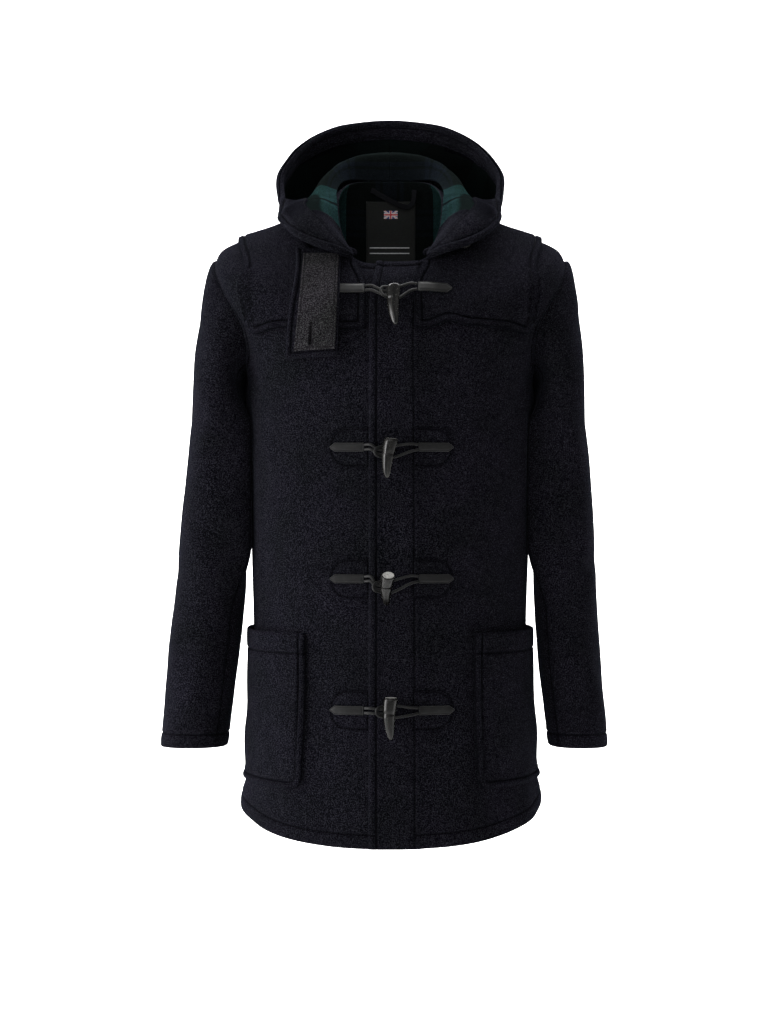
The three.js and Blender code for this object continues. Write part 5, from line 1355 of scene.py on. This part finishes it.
yoke_rise = CLOTH + YOKE_RISE
for k, z0 in enumerate(FASTENING_Z):
    n = k + 1

    def base(x, k=k):
        x = np.asarray(x, float)
        if k == 0:
            return yoke_rise + CLOTH + np.where(x > 0, LAP_RISE * (1 - smooth(44, 80, x)), 0) + 0.9
        return panel_top(x) + 0.5

    def patched(x, k=k):
        return base(x) + (0 if k == 0 else PATCH["thick"] + 0.4)

    for word, side in (("toggle", -1), ("loop", 1)):
        g = f"stitches_{word}_{n}"
        start, to = (36.0, 80.0) if side > 0 else (TAB["start"], TAB["to"])
        grow = 3.0 if side > 0 else 0.0
        if k > 0:
            def half(a, grow=grow):
                d = np.maximum(0, a - grow - (PATCH["to"] - PATCH["round"]))
                return 2.5 + (PATCH["half"] - 2.5) * np.sqrt(np.maximum(0, 1 - np.minimum(1, d / PATCH["round"]) ** 2.4))

            def low_relief(A):
                d = outline_distance(A[..., :3])
                return 0.25 * np.exp(-((d - 1.2) / 1.1) ** 2) - 0.8 * np.exp(-((d - 2.8) / 0.9) ** 2)
            # the patch's outline is darkened as a painted shadow line, and its stitch line as pressed nap with painted
            # shade
            obj, face, N, A = flat_piece(f"patch_{word}_{n}", side, PATCH["start"] + (2 if side > 0 else 0), PATCH["to"] + grow, z0, half, base, lambda x: base(x) + PATCH["thick"],
                                         [NAVY, NAVY], 2.2, (0.8, 1.5, 1.5, 1.5), low_relief, LIPS + [1.7, 2.3, 2.8, 3.4, 4.2],
                                         lambda A: np.maximum(press_and_shade(outline_distance(A[..., :3]), 2.8, 0.9), 0.9 * np.exp(-(outline_distance(A[..., :3]) / 1.0) ** 2)))
            d = outline_distance(A[..., :3])
            for axis, last, ok in ((1, False, A[..., 7] < z0), (1, True, A[..., 7] > z0)):
                sew(g, crossing(face, N, d, 2.8, axis, ok, last), pitch=3.2, length=2.2, radius=0.3)
            cloth(obj, f"patch_{word}_{n}", "laid", ["front_left" if side > 0 else "front_right"], groups=[g])

        def tab_half(a, to=to):
            return np.minimum(TAB["half"], 0.9 + (to - a) * (TAB["half"] - 0.9) / TAB["point"])

        def groove(A):
            rim = np.concatenate([A[:, 0, :3], A[-1, :, :3], A[::-1, -1, :3], A[0, ::-1, :3]])
            d = to_curve(A[..., :3], rim)
            return -0.45 * np.exp(-((d - 1.5) / 0.45) ** 2) + 0.2 * smooth(1.5, 3.5, d)
        obj, face, N, A = flat_piece(f"tab_{word}_{n}", side, start, to, z0, tab_half, patched, lambda x: patched(x) + TAB["thick"], [LEATHER, LEATHER], 1.1,
                                     (0.8, 0.8, 0.8, 0.8), groove, [0, 0.1, 0.35, 0.75, 1.1, 1.5, 1.9, 2.4])
        rim = np.concatenate([A[:, 0, :3], A[-1, :, :3], A[::-1, -1, :3], A[0, ::-1, :3]])
        d = to_curve(A[..., :3], rim)
        gl = f"stitches_tab_{word}_{n}"
        sew(gl, crossing(face, N, d, 1.5, 1, A[..., 7] < z0), pitch=2.5, length=1.8, radius=0.2, lift=0.05)
        sew(gl, crossing(face, N, d, 1.5, 1, A[..., 7] > z0, True), pitch=2.5, length=1.8, radius=0.2, lift=0.05)
        place(obj, [f"tab_{word}_{n}"])

    hang = TOGGLE_AT[k]
    toggle(n, hang)
    cx, cz = (hang["top"][0] + hang["tip"][0]) / 2, z0 - [6, 6, 10, 1][k]

    def at(x, z, off):
        return on_front(np.array([float(x)]), np.array([float(z)]), np.array([float(off)]))[0][0]

    def lift(x, off):
        return float(panel_top(x)) + off

    def start_h(x):
        return float(patched(x)) + TAB["thick"] / 2
    x0 = -TAB["start"] + 0.9
    ce = cx - 1.5
    tube(f"toggle_cord_{n}", [
        at(x0, z0 + 3.0, start_h(x0)), at(-24, z0 + 3.0, lift(-24, 3.3)), at(cx - 14, cz + 2.6, lift(-10, 3.0)),
        at(ce - 2, cz + 2.8, lift(-5, 3.0)), at(ce + 2.5, cz, lift(0, 3.0)), at(ce - 2, cz - 2.8, lift(-5, 3.0)),
        at(cx - 14, cz - 2.6, lift(-10, 3.0)), at(-24, z0 - 3.0, lift(-24, 3.3)), at(x0, z0 - 3.0, start_h(x0)),
    ], 1.9, 1.4, 16, 90, LEATHER, f"toggle_cord_{n}")
    x1, u0 = 36 - 0.9, cx - 16
    hi = 6.6 if k == 0 else 4.2
    tube(f"loop_{n}", [
        at(x1, z0 + 3.4, start_h(x1)), at(26, z0 + 4.0, lift(26, hi)), at(cx + 4, cz + 7.5, lift(0, 3.4)), at(cx - 7, cz + 7.0, lift(0, 3.7)),
        at(u0, cz + 4.5, lift(0, 7.2)), at(u0 - 2, cz, lift(0, 7.6)), at(u0, cz - 4.5, lift(0, 7.2)),
        at(cx - 7, cz - 7.0, lift(0, 3.7)), at(cx + 4, cz - 7.5, lift(0, 3.4)), at(26, z0 - 5.5, lift(26, hi)), at(x1, z0 - 3.4, start_h(x1)),
    ], 1.8, 1.4, 16, 120, LEATHER, f"loop_{n}")


# ------------------------------------------------------------------ throat button
def button():
    th, h = surface_at(np.array([96.0]), np.array([-66.0]))
    P, N = body_out(th, h, np.array([CLOTH + YOKE_RISE + CLOTH + 1.3]))
    P, N = P[0], N[0]
    U = unit(np.array([0, 0, 1.0]) - N * N[2])
    V = np.cross(N, U)
    sides = 48
    prof = [(0, 0), (9.0, 0), (9.7, 0.35), (10, 1.0), (10, 2.4), (9.7, 3.2), (9.1, 3.6), (8.3, 3.45), (7.4, 2.9), (6.0, 2.6), (3.0, 2.5), (0, 2.5)]
    a = np.arange(sides) * 2 * math.pi / sides
    verts, starts = [], []
    for r, t in prof:
        starts.append(len(verts))
        if r == 0:
            verts.append(P + N * t)
        else:
            verts += list(P + U * (r * np.cos(a))[:, None] + V * (r * np.sin(a))[:, None] + N * t)
    faces = []
    for q in range(len(prof) - 1):
        s, e = starts[q], starts[q + 1]
        for j in range(sides):
            m = (j + 1) % sides
            if prof[q][0] == 0:
                faces.append([s, e + m, e + j])
            elif prof[q + 1][0] == 0:
                faces.append([s + j, s + m, e])
            else:
                faces.append([s + j, s + m, e + m, e + j])
    verts = np.array(verts)
    obj = new_mesh("throat_button", verts, faces, verts[:, [0, 2]], [BUTTON])
    place(obj, ["throat_button"])
    for s in (-1, 1):
        for t in (-1, 1):
            c = P + U * 1.7 * s + V * 1.7 * t + N * 2.45
            line = np.stack([c - V * 1.6 * t * 0.9, c, c + V * 0.0])
    q = np.linspace(-1.6, 1.6, 5)[:, None]
    for s in (-1.3, -0.6, 0.6, 1.3):
        sew("stitches_button", (P + U * s + V * q + N * 2.75, np.broadcast_to(N, (5, 3))), pitch=3.2, length=3.0, radius=0.3, lift=0.0)


button()

# ------------------------------------------------------------------ stitches, then every sheet is placed
for group, parts in STITCHES.items():
    V, F, base = [], [], 0
    for v, f in parts:
        V.append(v)
        F.append(f + base)
        base += len(v)
    V, F = np.concatenate(V), np.concatenate(F)
    leather_work = group.startswith("stitches_tab_") or group == "stitches_button"
    obj = new_mesh(group, V, F, V[:, [0, 2]], [THREAD_BLACK if leather_work else THREAD])
    place(obj)

for obj, slot, name, held, rests_on, groups in SHEETS:
    place(obj, [name])

# ------------------------------------------------------------------ stage, light and camera
stage_mat, t, b = material("stage_white")
t.links.new(ramp(t, noise(t, coords(t), 3.0, 2, 0.5), [(0.3, (0.90, 0.90, 0.90)), (0.7, (0.93, 0.93, 0.93))]), b.inputs["Base Color"])
set_all(b, Roughness=0.95, Specular_IOR_Level=0.1)
prof = [(-6, -1.62), (2.2, -1.62), (2.8, -1.56), (3.2, -1.36), (3.4, -0.9), (3.45, 4.5)]
V = [(x, y, z) for y, z in prof for x in (-9, 9)]
F = [[2 * i, 2 * i + 1, 2 * i + 3, 2 * i + 2] for i in range(len(prof) - 1)]
stage = new_mesh("stage", np.array(V) / MM, F, None, [stage_mat])

world = bpy.data.worlds.new("studio")
bpy.context.scene.world = world
world.use_nodes = True
world.node_tree.nodes["Background"].inputs[0].default_value = (1, 1, 1, 1)
world.node_tree.nodes["Background"].inputs[1].default_value = 0.42


def softbox(name, loc, target, size, power, colour=(1, 1, 1)):
    light = bpy.data.lights.new(name, "AREA")
    light.shape = "RECTANGLE"
    light.size, light.size_y = size
    light.energy = power
    light.color = colour
    obj = bpy.data.objects.new(name, light)
    bpy.context.scene.collection.objects.link(obj)
    obj.location = loc
    d = np.array(target) - np.array(loc)
    from mathutils import Vector
    obj.rotation_euler = Vector(d).to_track_quat("-Z", "Y").to_euler()
    return obj


softbox("key", (-2.15, -1.1, -0.35), (0, 0, -0.5), (1.1, 1.8), 45)
softbox("side", (-2.7, -0.4, -0.5), (0, 0, -0.5), (0.9, 1.6), 44)
softbox("fill", (-0.6, -3.0, 0.6), (0, 0, -0.4), (1.4, 1.4), 12)
softbox("top", (-0.4, -0.9, 2.1), (0, 0, -0.3), (1.6, 1.0), 8)
neck_light = bpy.data.lights.new("neck", "SPOT")
neck_light.energy, neck_light.spot_size, neck_light.spot_blend, neck_light.shadow_soft_size = 42, 9.5 * RAD, 1.0, 0.2
neck_lamp = bpy.data.objects.new("neck", neck_light)
bpy.context.scene.collection.objects.link(neck_lamp)
neck_lamp.location = (0, -2.2, 0.35)
neck_lamp.rotation_euler = (math.pi / 2 - math.atan2(0.36, 2.27), 0, 0)
softbox("backdrop", (0.0, 1.0, 2.4), (0, 3.4, -0.9), (6.0, 1.2), 420)
softbox("backdrop_low", (0.0, 2.0, -0.2), (0, 3.4, -1.2), (6.0, 0.8), 120)

cam_data = bpy.data.cameras.new("camera")
cam_data.sensor_width = 36
cam_data.lens = 64.6
cam_data.shift_x, cam_data.shift_y = -0.0059, -0.0283
cam = bpy.data.objects.new("camera", cam_data)
bpy.context.scene.collection.objects.link(cam)
cam.location = (0, -2.5, -0.38)
cam.rotation_euler = (math.pi / 2, 0, 0)
bpy.context.scene.camera = cam
bpy.context.scene.view_settings.view_transform = "Standard"
bpy.context.scene.view_settings.look = "None"
